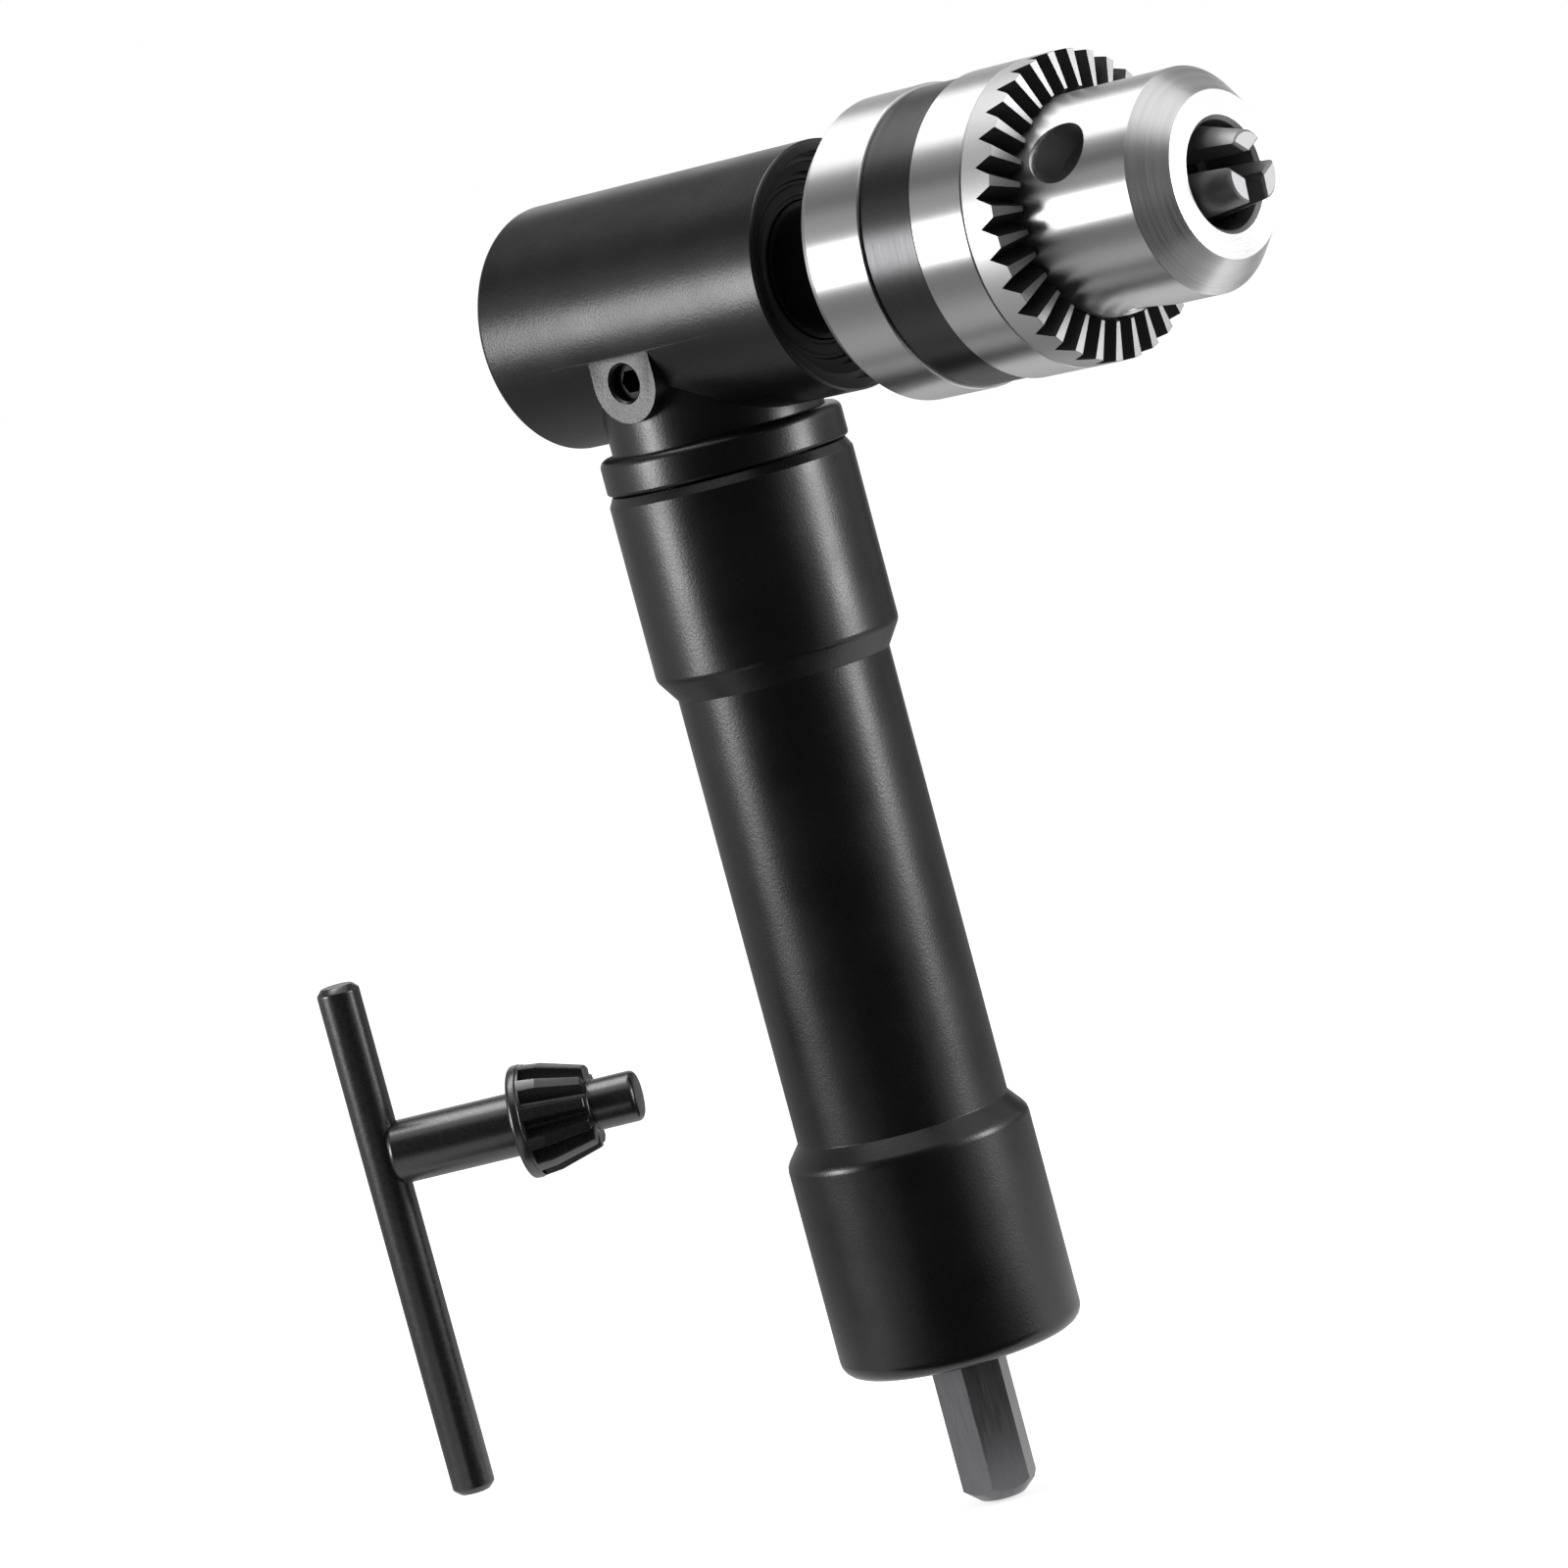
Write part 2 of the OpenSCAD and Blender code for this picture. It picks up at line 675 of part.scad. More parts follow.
// Circlip below the upper shaft bearing
module upper_bearing_circlip() {
    color([0.16, 0.16, 0.17])
        at_crossing()
            circlip(upper_bearing_d,
                -upper_bearing_drop - upper_bearing_width - circlip_thickness, 180);
}

// Outer ring of the bearing under the drive pinion
module upper_bearing_outer_ring() {
    color([0.75, 0.75, 0.77])
        at_crossing()
            outer_ring(upper_bearing_d, shaft_d,
                -upper_bearing_drop - upper_bearing_width, upper_bearing_width);
}

// Outer ring of the bearing in the handle's cup
module lower_bearing_outer_ring() {
    color([0.75, 0.75, 0.77])
        at_crossing()
            outer_ring(lower_bearing_d, shaft_d,
                -lower_bearing_drop - lower_bearing_width, lower_bearing_width);
}

// Circlip below the lower shaft bearing
module lower_bearing_circlip() {
    color([0.16, 0.16, 0.17])
        at_crossing()
            circlip(lower_bearing_d,
                -lower_bearing_drop - lower_bearing_width - circlip_thickness, 90);
}

// Input shaft with the hex shank at its lower end
module input_shaft() {
    hex_corner_d = hex_flats / cos(30);
    collar_from = hex_length;
    collar_to = axis_height - lower_bearing_drop - lower_bearing_width;
    color([0.3, 0.3, 0.31])
        difference() {
            union() {
                intersection() {
                    hex_bar(hex_flats, 0, hex_length);
                    rotate_extrude()
                        polygon([
                            [0, 0],
                            [hex_tip_d / 2, 0],
                            [hex_corner_d / 2, hex_tip_bevel],
                            [hex_corner_d / 2, hex_length - gear_tooth_size / 2],
                            [hex_flats / 2, hex_length],
                            [0, hex_length]
                        ]);
                }
                bar(shaft_collar_d, collar_from, collar_to);
                bar(shaft_d, collar_to, axis_height - shaft_top_drop);
            }
            translate([0, 0, axis_height - gear_pin_place])
                rotate([0, 90, 0])
                    cylinder(h = gear_hub_d * 2, d = gear_pin_d, center = true);
        }
}

// Bevel gear at the top of the input shaft
module drive_pinion() {
    color([0.5, 0.5, 0.52])
        at_crossing()
            rotate([180, 0, 0])
                bevel_gear(0.5, upper_bearing_drop);
}

// Pin through the drive pinion and the input shaft
module pinion_cross_pin() {
    color([0.7, 0.7, 0.72])
        translate([0, 0, axis_height - gear_pin_place])
            rotate([0, 90, 0])
                cylinder(h = gear_hub_d, d = gear_pin_d, center = true);
}

// Long sleeve between the two shaft bearings
module spacer_sleeve() {
    color([0.6, 0.6, 0.62])
        at_crossing()
            tube(spacer_d, shaft_d, -lower_bearing_drop,
                -upper_bearing_drop - upper_bearing_width);
}

// Inner ring of the upper shaft bearing
module upper_bearing_inner_ring() {
    color([0.75, 0.75, 0.77])
        at_crossing()
            inner_ring(upper_bearing_d, shaft_d,
                -upper_bearing_drop - upper_bearing_width, upper_bearing_width);
}

// Balls of the upper shaft bearing
module upper_bearing_balls() {
    color([0.85, 0.85, 0.87])
        at_crossing()
            ball_set(upper_bearing_d, shaft_d,
                -upper_bearing_drop - upper_bearing_width, upper_bearing_width, 8);
}

// Inner ring of the lower shaft bearing
module lower_bearing_inner_ring() {
    color([0.75, 0.75, 0.77])
        at_crossing()
            inner_ring(lower_bearing_d, shaft_d,
                -lower_bearing_drop - lower_bearing_width, lower_bearing_width);
}

// Balls of the lower shaft bearing
module lower_bearing_balls() {
    color([0.85, 0.85, 0.87])
        at_crossing()
            ball_set(lower_bearing_d, shaft_d,
                -lower_bearing_drop - lower_bearing_width, lower_bearing_width, 7);
}

// Spindle that carries the driven gear and the chuck
module output_spindle() {
    thread_end = chuck_back + spindle_thread_length;
    color([0.24, 0.24, 0.25])
        on_chuck_axis()
            difference() {
                union() {
                    bar(spindle_rear_d, spindle_start, front_bearing_place);
                    bar(spindle_d, front_bearing_place, front_bearing_place + front_bearing_width);
                    bar(spindle_nose_d, front_bearing_place + front_bearing_width, chuck_back);
                    bar(spindle_thread_d, chuck_back, thread_end);
                }
                bar(retaining_screw_d, retaining_screw_end, thread_end + shaft_d);
                translate([0, 0, gear_pin_place])
                    rotate([0, 90, 0])
                        cylinder(h = gear_hub_d * 2, d = gear_pin_d, center = true);
            }
}

// Bevel gear on the spindle
module driven_bevel_gear() {
    color([0.5, 0.5, 0.52])
        on_chuck_axis()
            bevel_gear(0, front_bearing_place);
}

// Pin through the driven gear and the spindle
module gear_cross_pin() {
    color([0.7, 0.7, 0.72])
        on_chuck_axis()
            translate([0, 0, gear_pin_place])
                rotate([0, 90, 0])
                    cylinder(h = gear_hub_d, d = gear_pin_d, center = true);
}

// Inner ring of the front bearing
module front_bearing_inner_ring() {
    color([0.75, 0.75, 0.77])
        on_chuck_axis()
            inner_ring(front_bearing_d, spindle_d, front_bearing_place, front_bearing_width);
}

// Balls of the front bearing
module front_bearing_balls() {
    color([0.85, 0.85, 0.87])
        on_chuck_axis()
            ball_set(front_bearing_d, spindle_d, front_bearing_place, front_bearing_width, 11);
}

// Inner ring of the rear bearing
module rear_bearing_inner_ring() {
    color([0.75, 0.75, 0.77])
        on_chuck_axis()
            inner_ring(rear_bearing_d, spindle_rear_d, spindle_start, rear_bearing_width);
}

// Balls of the rear bearing
module rear_bearing_balls() {
    color([0.85, 0.85, 0.87])
        on_chuck_axis()
            ball_set(rear_bearing_d, spindle_rear_d, spindle_start, rear_bearing_width, 8);
}

// Chuck body with its rear band, nose, jaw holes and key holes
module chuck_body() {
    color([0.78, 0.78, 0.8])
        difference() {
            on_chuck_axis()
                rotate_extrude()
                    polygon([
                        [0, chuck_back],
                        [chuck_r - chuck_back_bevel * back_bevel_share, chuck_back],
                        [chuck_r, chuck_back + chuck_back_bevel],
                        [chuck_r, band_end],
                        [chuck_core_d / 2, band_end],
                        [chuck_core_d / 2, ring_end],
                        [washer_step_d / 2, ring_end],
                        [washer_step_d / 2, nut_back],
                        [nut_groove_d / 2, nut_back],
                        [nut_groove_d / 2, nut_front],
                        [nose_r, nut_front],
                        [nose_r, nose_shoulder],
                        [face_d / 2, nose_end],
                        [0, nose_end]
                    ]);
            on_chuck_axis() {
                bar(spindle_thread_d, chuck_back - shaft_d, chuck_back + spindle_thread_length);
                bar(retaining_screw_d, chuck_back, nose_end);
                bar(core_hole_d, core_hole_back, nose_end + shaft_d);
                bar(mouth_d, nose_end - mouth_depth, nose_end + shaft_d);
                translate([0, 0, nose_end - rim_edge])
                    cylinder(h = rim_edge * 2, d1 = mouth_d, d2 = mouth_d + 4 * rim_edge);
            }
            for (i = [0 : 2]) {
                on_jaw_axis(jaw_turn + i * third_turn)
                    translate([0, 0, -jaw_hole_length])
                        cylinder(h = jaw_hole_length + hollow_reach, r = jaw_hole_r);
                on_chuck_axis()
                    rotate([0, 0, key_hole_turn + i * third_turn + 90])
                        translate([0, 0, key_hole_place])
                            rotate([0, 90, 0]) {
                                bar(key_hole_d, key_hole_floor_d / 2, nose_r + shaft_d);
                                translate([0, 0, nose_r - key_hole_bevel * 2])
                                    cylinder(h = key_hole_bevel * 3, d1 = key_hole_d,
                                        d2 = key_hole_d + 6 * key_hole_bevel);
                            }
            }
        }
}

// Dark ring between the two bright bands
module dark_ring() {
    color([0.14, 0.14, 0.15])
        on_chuck_axis()
            tube(dark_ring_d, chuck_core_d, band_end, ring_end);
}

// Screw inside the chuck that locks it to the spindle
module retaining_screw() {
    color([0.35, 0.35, 0.36])
        on_chuck_axis()
            difference() {
                union() {
                    bar(retaining_screw_d, retaining_screw_end, core_hole_back);
                    bar(retaining_head_d, core_hole_back, core_hole_back + retaining_head_height);
                }
                hex_bar(retaining_screw_d * screw_hex_share, core_hole_back + gear_tooth_size,
                    core_hole_back + retaining_head_height + shaft_d);
            }
}

// Washer behind the split nut
module thrust_washer() {
    color([0.6, 0.6, 0.62])
        on_chuck_axis()
            tube(nut_d - 4 * sleeve_play, washer_step_d, ring_end, nut_back - sleeve_play);
}

// Outer sleeve with the bevel teeth for the key
module toothed_sleeve() {
    nose_gap_r = nose_r + sleeve_play;
    floor_angle = atan2(tooth_gap_floor - tooth_gap_tip, chuck_r - nose_gap_r);
    gap_height = chuck_r / 2;
    color([0.78, 0.78, 0.8])
        on_chuck_axis()
            difference() {
                rotate_extrude()
                    polygon([
                        [nut_d / 2, ring_end + sleeve_seam],
                        [chuck_r - rim_edge / 2, ring_end + sleeve_seam],
                        [chuck_r, ring_end + sleeve_seam + rim_edge / 2],
                        [chuck_r, sleeve_line - sleeve_line_size],
                        [chuck_r - sleeve_line_size, sleeve_line],
                        [chuck_r, sleeve_line + sleeve_line_size],
                        [chuck_r, sleeve_edge],
                        [nose_gap_r, sleeve_front],
                        [nose_gap_r, nut_front + sleeve_seam],
                        [nut_d / 2, nut_front + sleeve_seam]
                    ]);
                for (i = [0 : sleeve_teeth - 1])
                    rotate([0, 0, (i + gap_turn_share) * 360 / sleeve_teeth])
                        translate([chuck_r, 0, tooth_gap_tip])
                            rotate([0, -90 + floor_angle, 0])
                                translate([0, 0, -gap_height * gap_start_share])
                                    linear_extrude(height = gap_height)
                                        polygon([
                                            [0, 0],
                                            [gap_height, -gap_height * tan(tooth_gap_angle)],
                                            [gap_height, gap_height * tan(tooth_gap_angle)]
                                        ]);
            }
}

// One half of the split nut
module nut_half(side) {
    back_r = jaw_tip_offset + (jaw_tip - nut_back) * jaw_slope + jaw_hole_r / cos(jaw_angle);
    front_r = jaw_tip_offset + (jaw_tip - nut_front) * jaw_slope + jaw_hole_r / cos(jaw_angle);
    color([0.66, 0.6, 0.45])
        on_chuck_axis()
            difference() {
                rotate_extrude()
                    polygon([
                        [back_r + sleeve_play, nut_back + sleeve_play],
                        [nut_d / 2, nut_back + sleeve_play],
                        [nut_d / 2, nut_front - sleeve_play],
                        [front_r + sleeve_play, nut_front - sleeve_play]
                    ]);
                for (i = [0 : 2])
                    translate([0, 0, nut_back + (i + 0.5) * jaw_thread_step])
                        cylinder(h = jaw_thread_step / 2,
                            r1 = back_r - i * jaw_thread_step * jaw_slope + jaw_thread_depth / 2,
                            r2 = back_r - (i + 0.5) * jaw_thread_step * jaw_slope);
                translate([-chuck_r, side > 0 ? -chuck_d : -sleeve_play, 0])
                    cube([chuck_d, chuck_d + sleeve_play, axis_height]);
            }
}

// Near half of the nut that drives the jaws
module split_nut_near_half() {
    nut_half(-1);
}

// Far half of the nut that drives the jaws
module split_nut_far_half() {
    nut_half(1);
}

// One jaw, cut to a ridge that grips along the chuck axis
module jaw(turn) {
    wedge = chuck_d;
    color([0.62, 0.62, 0.64])
        difference() {
            on_jaw_axis(turn)
                translate([0, 0, -jaw_length])
                    cylinder(h = jaw_length + jaw_d, r = jaw_r, $fn = 64);
            on_chuck_axis()
                rotate([0, 0, turn + 90]) {
                    translate([0, 0, jaw_tip])
                        translate([-wedge, -wedge, 0])
                            cube([wedge * 2, wedge * 2, wedge]);
                    for (side = [-1, 1])
                        translate([grip_edge, 0, 0])
                            rotate([0, 0, side * 60])
                                translate([-wedge, side > 0 ? 0 : -wedge, jaw_back - wedge / 2])
                                    cube([wedge * 2, wedge, wedge * 2]);
                    bar(grip_d, jaw_back - wedge / 2, jaw_tip + wedge / 2);
                    for (i = [0 : jaw_thread_count - 1]) {
                        at = jaw_back + (i + 1) * jaw_thread_step;
                        outer_r = jaw_tip_offset + (jaw_tip - at) * jaw_slope + jaw_r / cos(jaw_angle);
                        translate([0, 0, at])
                            rotate_extrude()
                                polygon([
                                    [outer_r - jaw_thread_depth, 0],
                                    [outer_r + jaw_thread_depth, -jaw_thread_step * thread_wide_share],
                                    [outer_r + jaw_thread_depth, jaw_thread_step * thread_wide_share]
                                ]);
                    }
                }
        }
}

// First jaw
module jaw_1() {
    jaw(jaw_turn);
}

// Second jaw
module jaw_2() {
    jaw(jaw_turn + third_turn);
}

// Third jaw
module jaw_3() {
    jaw(jaw_turn + 2 * third_turn);
}

// Puts a piece drawn upwards onto the loose key's shaft
module on_key_shaft() {
    translate([key_x, key_y, key_height])
        rotate([0, 0, key_aim])
            rotate([0, 90, 0])
                children();
}

// Shaft of the loose key with its flange, pinion and pilot
module key_shaft() {
    pinion_end = key_reach + key_pinion_length;
    root_slope = atan2((key_root_big_d - key_root_small_d) / 2, key_pinion_length);
    gap_height = key_pinion_big_d / 2;
    color([0.17, 0.17, 0.18])
        difference() {
            on_key_shaft()
                union() {
                    rotate_extrude()
                        polygon([
                            [0, key_saddle_place],
                            [key_shaft_d / 2 - key_saddle_bevel, key_saddle_place],
                            [key_shaft_d / 2, key_saddle_place + key_saddle_bevel],
                            [key_shaft_d / 2, key_flange_place],
                            [0, key_flange_place]
                        ]);
                    difference() {
                        rotate_extrude()
                            polygon([
                                [0, key_reach - key_flange_width / 2],
                                [key_pinion_big_d / 2, key_reach - key_flange_width / 2],
                                [key_pinion_kink_d / 2, key_reach + key_pinion_kink],
                                [key_pinion_small_d / 2, pinion_end],
                                [0, pinion_end]
                            ]);
                        for (i = [0 : key_teeth - 1])
                            rotate([0, 0, (i + 0.25) * 360 / key_teeth])
                                translate([key_root_big_d / 2, 0, key_reach])
                                    rotate([0, -root_slope, 0])
                                        linear_extrude(height = (key_pinion_length + key_pilot_bevel))
                                            polygon([
                                                [0, -key_gap_floor / 2],
                                                [gap_height, -gap_height * tan(key_gap_angle)],
                                                [gap_height, gap_height * tan(key_gap_angle)],
                                                [0, key_gap_floor / 2]
                                            ]);
                    }
                    rotate_extrude()
                        polygon([
                            [0, key_flange_place],
                            [key_flange_d / 2 - rim_edge, key_flange_place],
                            [key_flange_d / 2, key_flange_place + rim_edge],
                            [key_flange_d / 2, key_reach],
                            [0, key_reach]
                        ]);
                    rotate_extrude()
                        polygon([
                            [0, key_reach],
                            [key_pilot_d / 2, key_reach],
                            [key_pilot_d / 2, pinion_end + key_pilot_length - key_pilot_bevel],
                            [key_pilot_d / 2 - key_pilot_bevel, pinion_end + key_pilot_length],
                            [0, pinion_end + key_pilot_length]
                        ]);
                }
            translate([key_x, key_y, key_height])
                bar(key_bar_d, -key_bar_down, key_bar_up);
        }
}

// Cross bar of the loose key
module key_cross_bar() {
    color([0.17, 0.17, 0.18])
        translate([key_x, key_y, key_height])
            rotate_extrude()
                polygon([
                    [0, -key_bar_down],
                    [key_bar_d / 2 - key_bar_bevel, -key_bar_down],
                    [key_bar_d / 2, -key_bar_down + key_bar_bevel],
                    [key_bar_d / 2, key_bar_up - key_bar_bevel],
                    [key_bar_d / 2 - key_bar_bevel, key_bar_up],
                    [0, key_bar_up]
                ]);
}

head_housing();
collar_ring();
handle_tube();
lug_set_screw();
front_circlip();
front_bearing_outer_ring();
rear_bearing_outer_ring();
upper_bearing_circlip();
upper_bearing_outer_ring();
lower_bearing_outer_ring();
lower_bearing_circlip();
input_shaft();
drive_pinion();
pinion_cross_pin();
spacer_sleeve();
upper_bearing_inner_ring();
upper_bearing_balls();
lower_bearing_inner_ring();
lower_bearing_balls();
output_spindle();
driven_bevel_gear();
gear_cross_pin();
front_bearing_inner_ring();
front_bearing_balls();
rear_bearing_inner_ring();
rear_bearing_balls();
chuck_body();
dark_ring();
retaining_screw();
thrust_washer();
toothed_sleeve();
split_nut_near_half();
split_nut_far_half();
jaw_1();
jaw_2();
jaw_3();
key_shaft();
key_cross_bar();
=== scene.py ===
# %% [markdown]
# # A right angle drill attachment
#
# The object is a bent drill head: a hex shank goes into a drill, a shaft runs up through a long
# black handle, and two bevel gears turn its motion by ninety degrees into a keyed chuck.
# A loose chuck key belongs to it. The imported model gives every piece its place, so it is
# loaded first.

# %% Load the imported model
import math

import bmesh
import bpy
from mathutils import Matrix, Vector


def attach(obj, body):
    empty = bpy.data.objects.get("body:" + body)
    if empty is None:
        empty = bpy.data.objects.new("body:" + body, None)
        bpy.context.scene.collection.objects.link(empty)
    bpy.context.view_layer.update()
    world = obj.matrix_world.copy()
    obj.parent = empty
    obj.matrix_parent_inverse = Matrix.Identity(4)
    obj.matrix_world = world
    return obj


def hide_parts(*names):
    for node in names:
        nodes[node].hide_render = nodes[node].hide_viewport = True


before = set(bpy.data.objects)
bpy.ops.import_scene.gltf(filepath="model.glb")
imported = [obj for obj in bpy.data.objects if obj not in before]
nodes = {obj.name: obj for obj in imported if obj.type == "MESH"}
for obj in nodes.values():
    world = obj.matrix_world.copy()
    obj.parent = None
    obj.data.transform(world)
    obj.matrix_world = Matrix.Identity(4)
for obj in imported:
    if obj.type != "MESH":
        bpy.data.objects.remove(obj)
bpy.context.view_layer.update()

# %% [markdown]
# ## Sizes and the two axes
#
# Blender works in metres here, and a maker thinks in millimetres, so one number turns one into
# the other. Two axes carry nearly everything: the shank axis stands upright on Z, and the chuck
# axis lies along X at a fixed height. Every outline below is given along one of them, so a
# distance from the axis is a radius that callipers would measure.

# %% Millimetres and the axes
MM = 0.001
AXIS_HEIGHT = 142.4
CHUCK_CENTRE = Vector((0, 0, AXIS_HEIGHT)) * MM
print("chuck axis at", AXIS_HEIGHT, "mm")

# %% [markdown]
# ## Camera
#
# The photograph was taken with a long lens from the front left, a little above the handle,
# and the tool leans in the picture because the camera was turned about its own axis. The
# camera is placed by its three directions, so the lean needs no extra empty or constraint.

# %% Place the camera
PHOTO_WIDTH = 1600
FOCAL_PIXELS = 7014.54
SENSOR = 36.0
NEAREST, FARTHEST = 0.05, 50
CAMERA_PLACE = (0.527018, -0.574307, 0.171094)

lens = bpy.data.cameras.new("camera")
lens.sensor_width = SENSOR
lens.lens = FOCAL_PIXELS / PHOTO_WIDTH * SENSOR
lens.clip_start, lens.clip_end = NEAREST, FARTHEST
camera = bpy.data.objects.new("camera", lens)
bpy.context.scene.collection.objects.link(camera)
camera_right = Vector((0.72798, 0.63551, -0.25722))
camera_up = Vector((0.11887, 0.25251, 0.96027))
camera_back = Vector((0.67521, -0.72963, 0.10828))
turn = Matrix((camera_right, camera_up, camera_back)).transposed().to_4x4()
camera.matrix_world = Matrix.Translation(CAMERA_PLACE) @ turn
bpy.context.scene.camera = camera
print("lens", round(lens.lens, 1), "mm")

# %% [markdown]
# ## Colours and a way to add nodes
#
# Colours are written as on a paint card, in sRGB hex, and Blender's sockets want linear
# values, so one function turns them. Another adds a shader node with its settings, its
# values and its links in one call, which keeps the recipes below short enough to read.

# %% Colour and node helpers
def paint(code):
    """Turns an sRGB hex colour into linear values."""
    shares = [int(code[i:i + 2], 16) / 255 for i in (1, 3, 5)]
    return [s / 12.92 if s <= 0.04045 else ((s + 0.055) / 1.055) ** 2.4 for s in shares] + [1]


def add(tree, kind, links=(), values=(), **settings):
    """Adds a node: links are (socket, where it comes from), values are (socket, value)."""
    made = tree.nodes.new(kind)
    for name, value in settings.items():
        setattr(made, name, value)
    for socket, value in values:
        made.inputs[socket].default_value = value
    for socket, source in links:
        tree.links.new(source, made.inputs[socket])
    return made


print("black paint is", [round(v, 4) for v in paint("#0C0C0D")])

# %% [markdown]
# ## A finish to start from
#
# Every finish is one Principled shader. Its constant values sit on the shader's own sockets,
# and only colour, roughness and the surface's fine relief are fed by patterns. The patterns
# read Object coordinates in metres, so a pattern's scale is one over its real size.

# %% Start a finish
def start_finish(name, colour, metallic, roughness, **more):
    """Makes a material with one Principled shader and returns it with its tree and shader."""
    material = bpy.data.materials.new(name)
    material.use_nodes = True
    tree = material.node_tree
    shader = tree.nodes["Principled BSDF"]
    shader.inputs["Base Color"].default_value = paint(colour)
    shader.inputs["Metallic"].default_value = metallic
    shader.inputs["Roughness"].default_value = roughness
    for socket, value in more.items():
        shader.inputs[socket.replace("_", " ").title().replace("Ior", "IOR")].default_value = value
    return material, tree, shader


NOISE_LOW, NOISE_HIGH = 0.3, 0.7


def per_mm(size):
    """Pattern scale for a feature of this size in millimetres."""
    return 1 / (size * MM)


def roughness_between(tree, shader, pattern, low, high):
    """Lets a noise, which hardly leaves its middle, move the roughness between two values."""
    spread = add(tree, "ShaderNodeMapRange", links=[("Value", pattern)],
                 values=[("From Min", NOISE_LOW), ("From Max", NOISE_HIGH),
                         ("To Min", low), ("To Max", high)])
    tree.links.new(spread.outputs["Result"], shader.inputs["Roughness"])


def relief(tree, shader, pattern, depth, strength, below=None):
    """Presses a pattern into the surface, to a depth in millimetres."""
    bump = add(tree, "ShaderNodeBump", links=[("Height", pattern)],
               values=[("Distance", depth * MM), ("Strength", strength)])
    if below:
        tree.links.new(below.outputs["Normal"], bump.inputs["Normal"])
    tree.links.new(bump.outputs["Normal"], shader.inputs["Normal"])
    return bump


print("0.4 mm grain has scale", round(per_mm(0.4)))

# %% [markdown]
# ## Stove enamel on the housing
#
# Head, collar and handle are coated in black stove enamel, sprayed and baked. It flows into a
# fine orange peel with grains of a third of a millimetre, over slow waves seven millimetres
# long. One flat black would look like plastic: the grains break up a lamp's reflection, so they
# are relief, and the waves change roughness and colour a little.

# %% Black stove enamel
PEEL, WAVE = 0.33, 7.0
enamel, tree, shader = start_finish("black_stove_enamel", "#0B0B0C", 0.0, 0.32)
place = add(tree, "ShaderNodeTexCoord").outputs["Object"]
peel = add(tree, "ShaderNodeTexNoise", links=[("Vector", place)],
           values=[("Scale", per_mm(PEEL)), ("Detail", 3.0), ("Roughness", 0.55)])
waves = add(tree, "ShaderNodeTexNoise", links=[("Vector", place)],
            values=[("Scale", per_mm(WAVE)), ("Detail", 2.0)])
roughness_between(tree, shader, waves.outputs["Fac"], 0.28, 0.34)
shade = add(tree, "ShaderNodeMix", data_type="RGBA", links=[(0, waves.outputs["Fac"])],
            values=[(6, paint("#090909")), (7, paint("#0E0E0F"))])
tree.links.new(shade.outputs[2], shader.inputs["Base Color"])
slow = relief(tree, shader, waves.outputs["Fac"], 0.05, 0.5)
relief(tree, shader, peel.outputs["Fac"], 0.02, 0.8, below=slow)
print("made", enamel.name)

# %% [markdown]
# ## Marks of the lathe
#
# The chuck's steel parts are turned and ground about the chuck axis, so their marks are fine
# rings. A noise that changes quickly along the axis and along the radius, and hardly at all
# round the axis, gives such rings on cylinders, cones and flat faces alike, where an image or
# a wave along one direction would break at every edge. Real marks are about a twentieth of a
# millimetre apart, too fine for the picture, so they are drawn two to three times coarser.

# %% Rings about the chuck axis
MIDDLE_RADIUS, STREAK = 12, 14.0


def lathe_rings(tree, spacing):
    """Noise in rings round the chuck axis, with a spacing across them and streaks along them."""
    place = add(tree, "ShaderNodeTexCoord").outputs["Object"]
    centred = add(tree, "ShaderNodeVectorMath", operation="SUBTRACT",
                  links=[(0, place)], values=[(1, CHUCK_CENTRE)])
    parts = add(tree, "ShaderNodeSeparateXYZ", links=[(0, centred.outputs[0])])
    flat = add(tree, "ShaderNodeCombineXYZ",
               links=[("Y", parts.outputs["Y"]), ("Z", parts.outputs["Z"])])
    radius = add(tree, "ShaderNodeVectorMath", operation="LENGTH",
                 links=[(0, flat.outputs[0])])
    angle = add(tree, "ShaderNodeMath", operation="ARCTAN2",
                links=[(0, parts.outputs["Y"]), (1, parts.outputs["Z"])])
    around = add(tree, "ShaderNodeMath", operation="MULTIPLY",
                 links=[(0, angle.outputs[0])], values=[(1, MIDDLE_RADIUS * MM * spacing / STREAK)])
    ring = add(tree, "ShaderNodeCombineXYZ",
               links=[("X", parts.outputs["X"]), ("Y", radius.outputs["Value"]),
                      ("Z", around.outputs[0])])
    return add(tree, "ShaderNodeTexNoise", links=[("Vector", ring.outputs[0])],
               values=[("Scale", per_mm(spacing)), ("Detail", 3.0), ("Roughness", 0.6)])


def turned_steel(name, dark, light, low, high, spacing, depth, stretch=0.6):
    """Steel turned about the chuck axis, between two greys and two roughnesses.

    Spacing and depth of its rings are in mm, and stretch is how far they draw out a highlight.
    """
    material, tree, shader = start_finish(name, light, 1.0, low, anisotropic=stretch,
                                          anisotropic_rotation=0.25)
    around = add(tree, "ShaderNodeTangent", direction_type="RADIAL", axis="X")
    tree.links.new(around.outputs["Tangent"], shader.inputs["Tangent"])
    rings = lathe_rings(tree, spacing)
    shade = add(tree, "ShaderNodeMix", data_type="RGBA", links=[(0, rings.outputs["Fac"])],
                values=[(6, paint(dark)), (7, paint(light))])
    tree.links.new(shade.outputs[2], shader.inputs["Base Color"])
    roughness_between(tree, shader, rings.outputs["Fac"], low, high)
    relief(tree, shader, rings.outputs["Fac"], depth, 0.6)
    return material


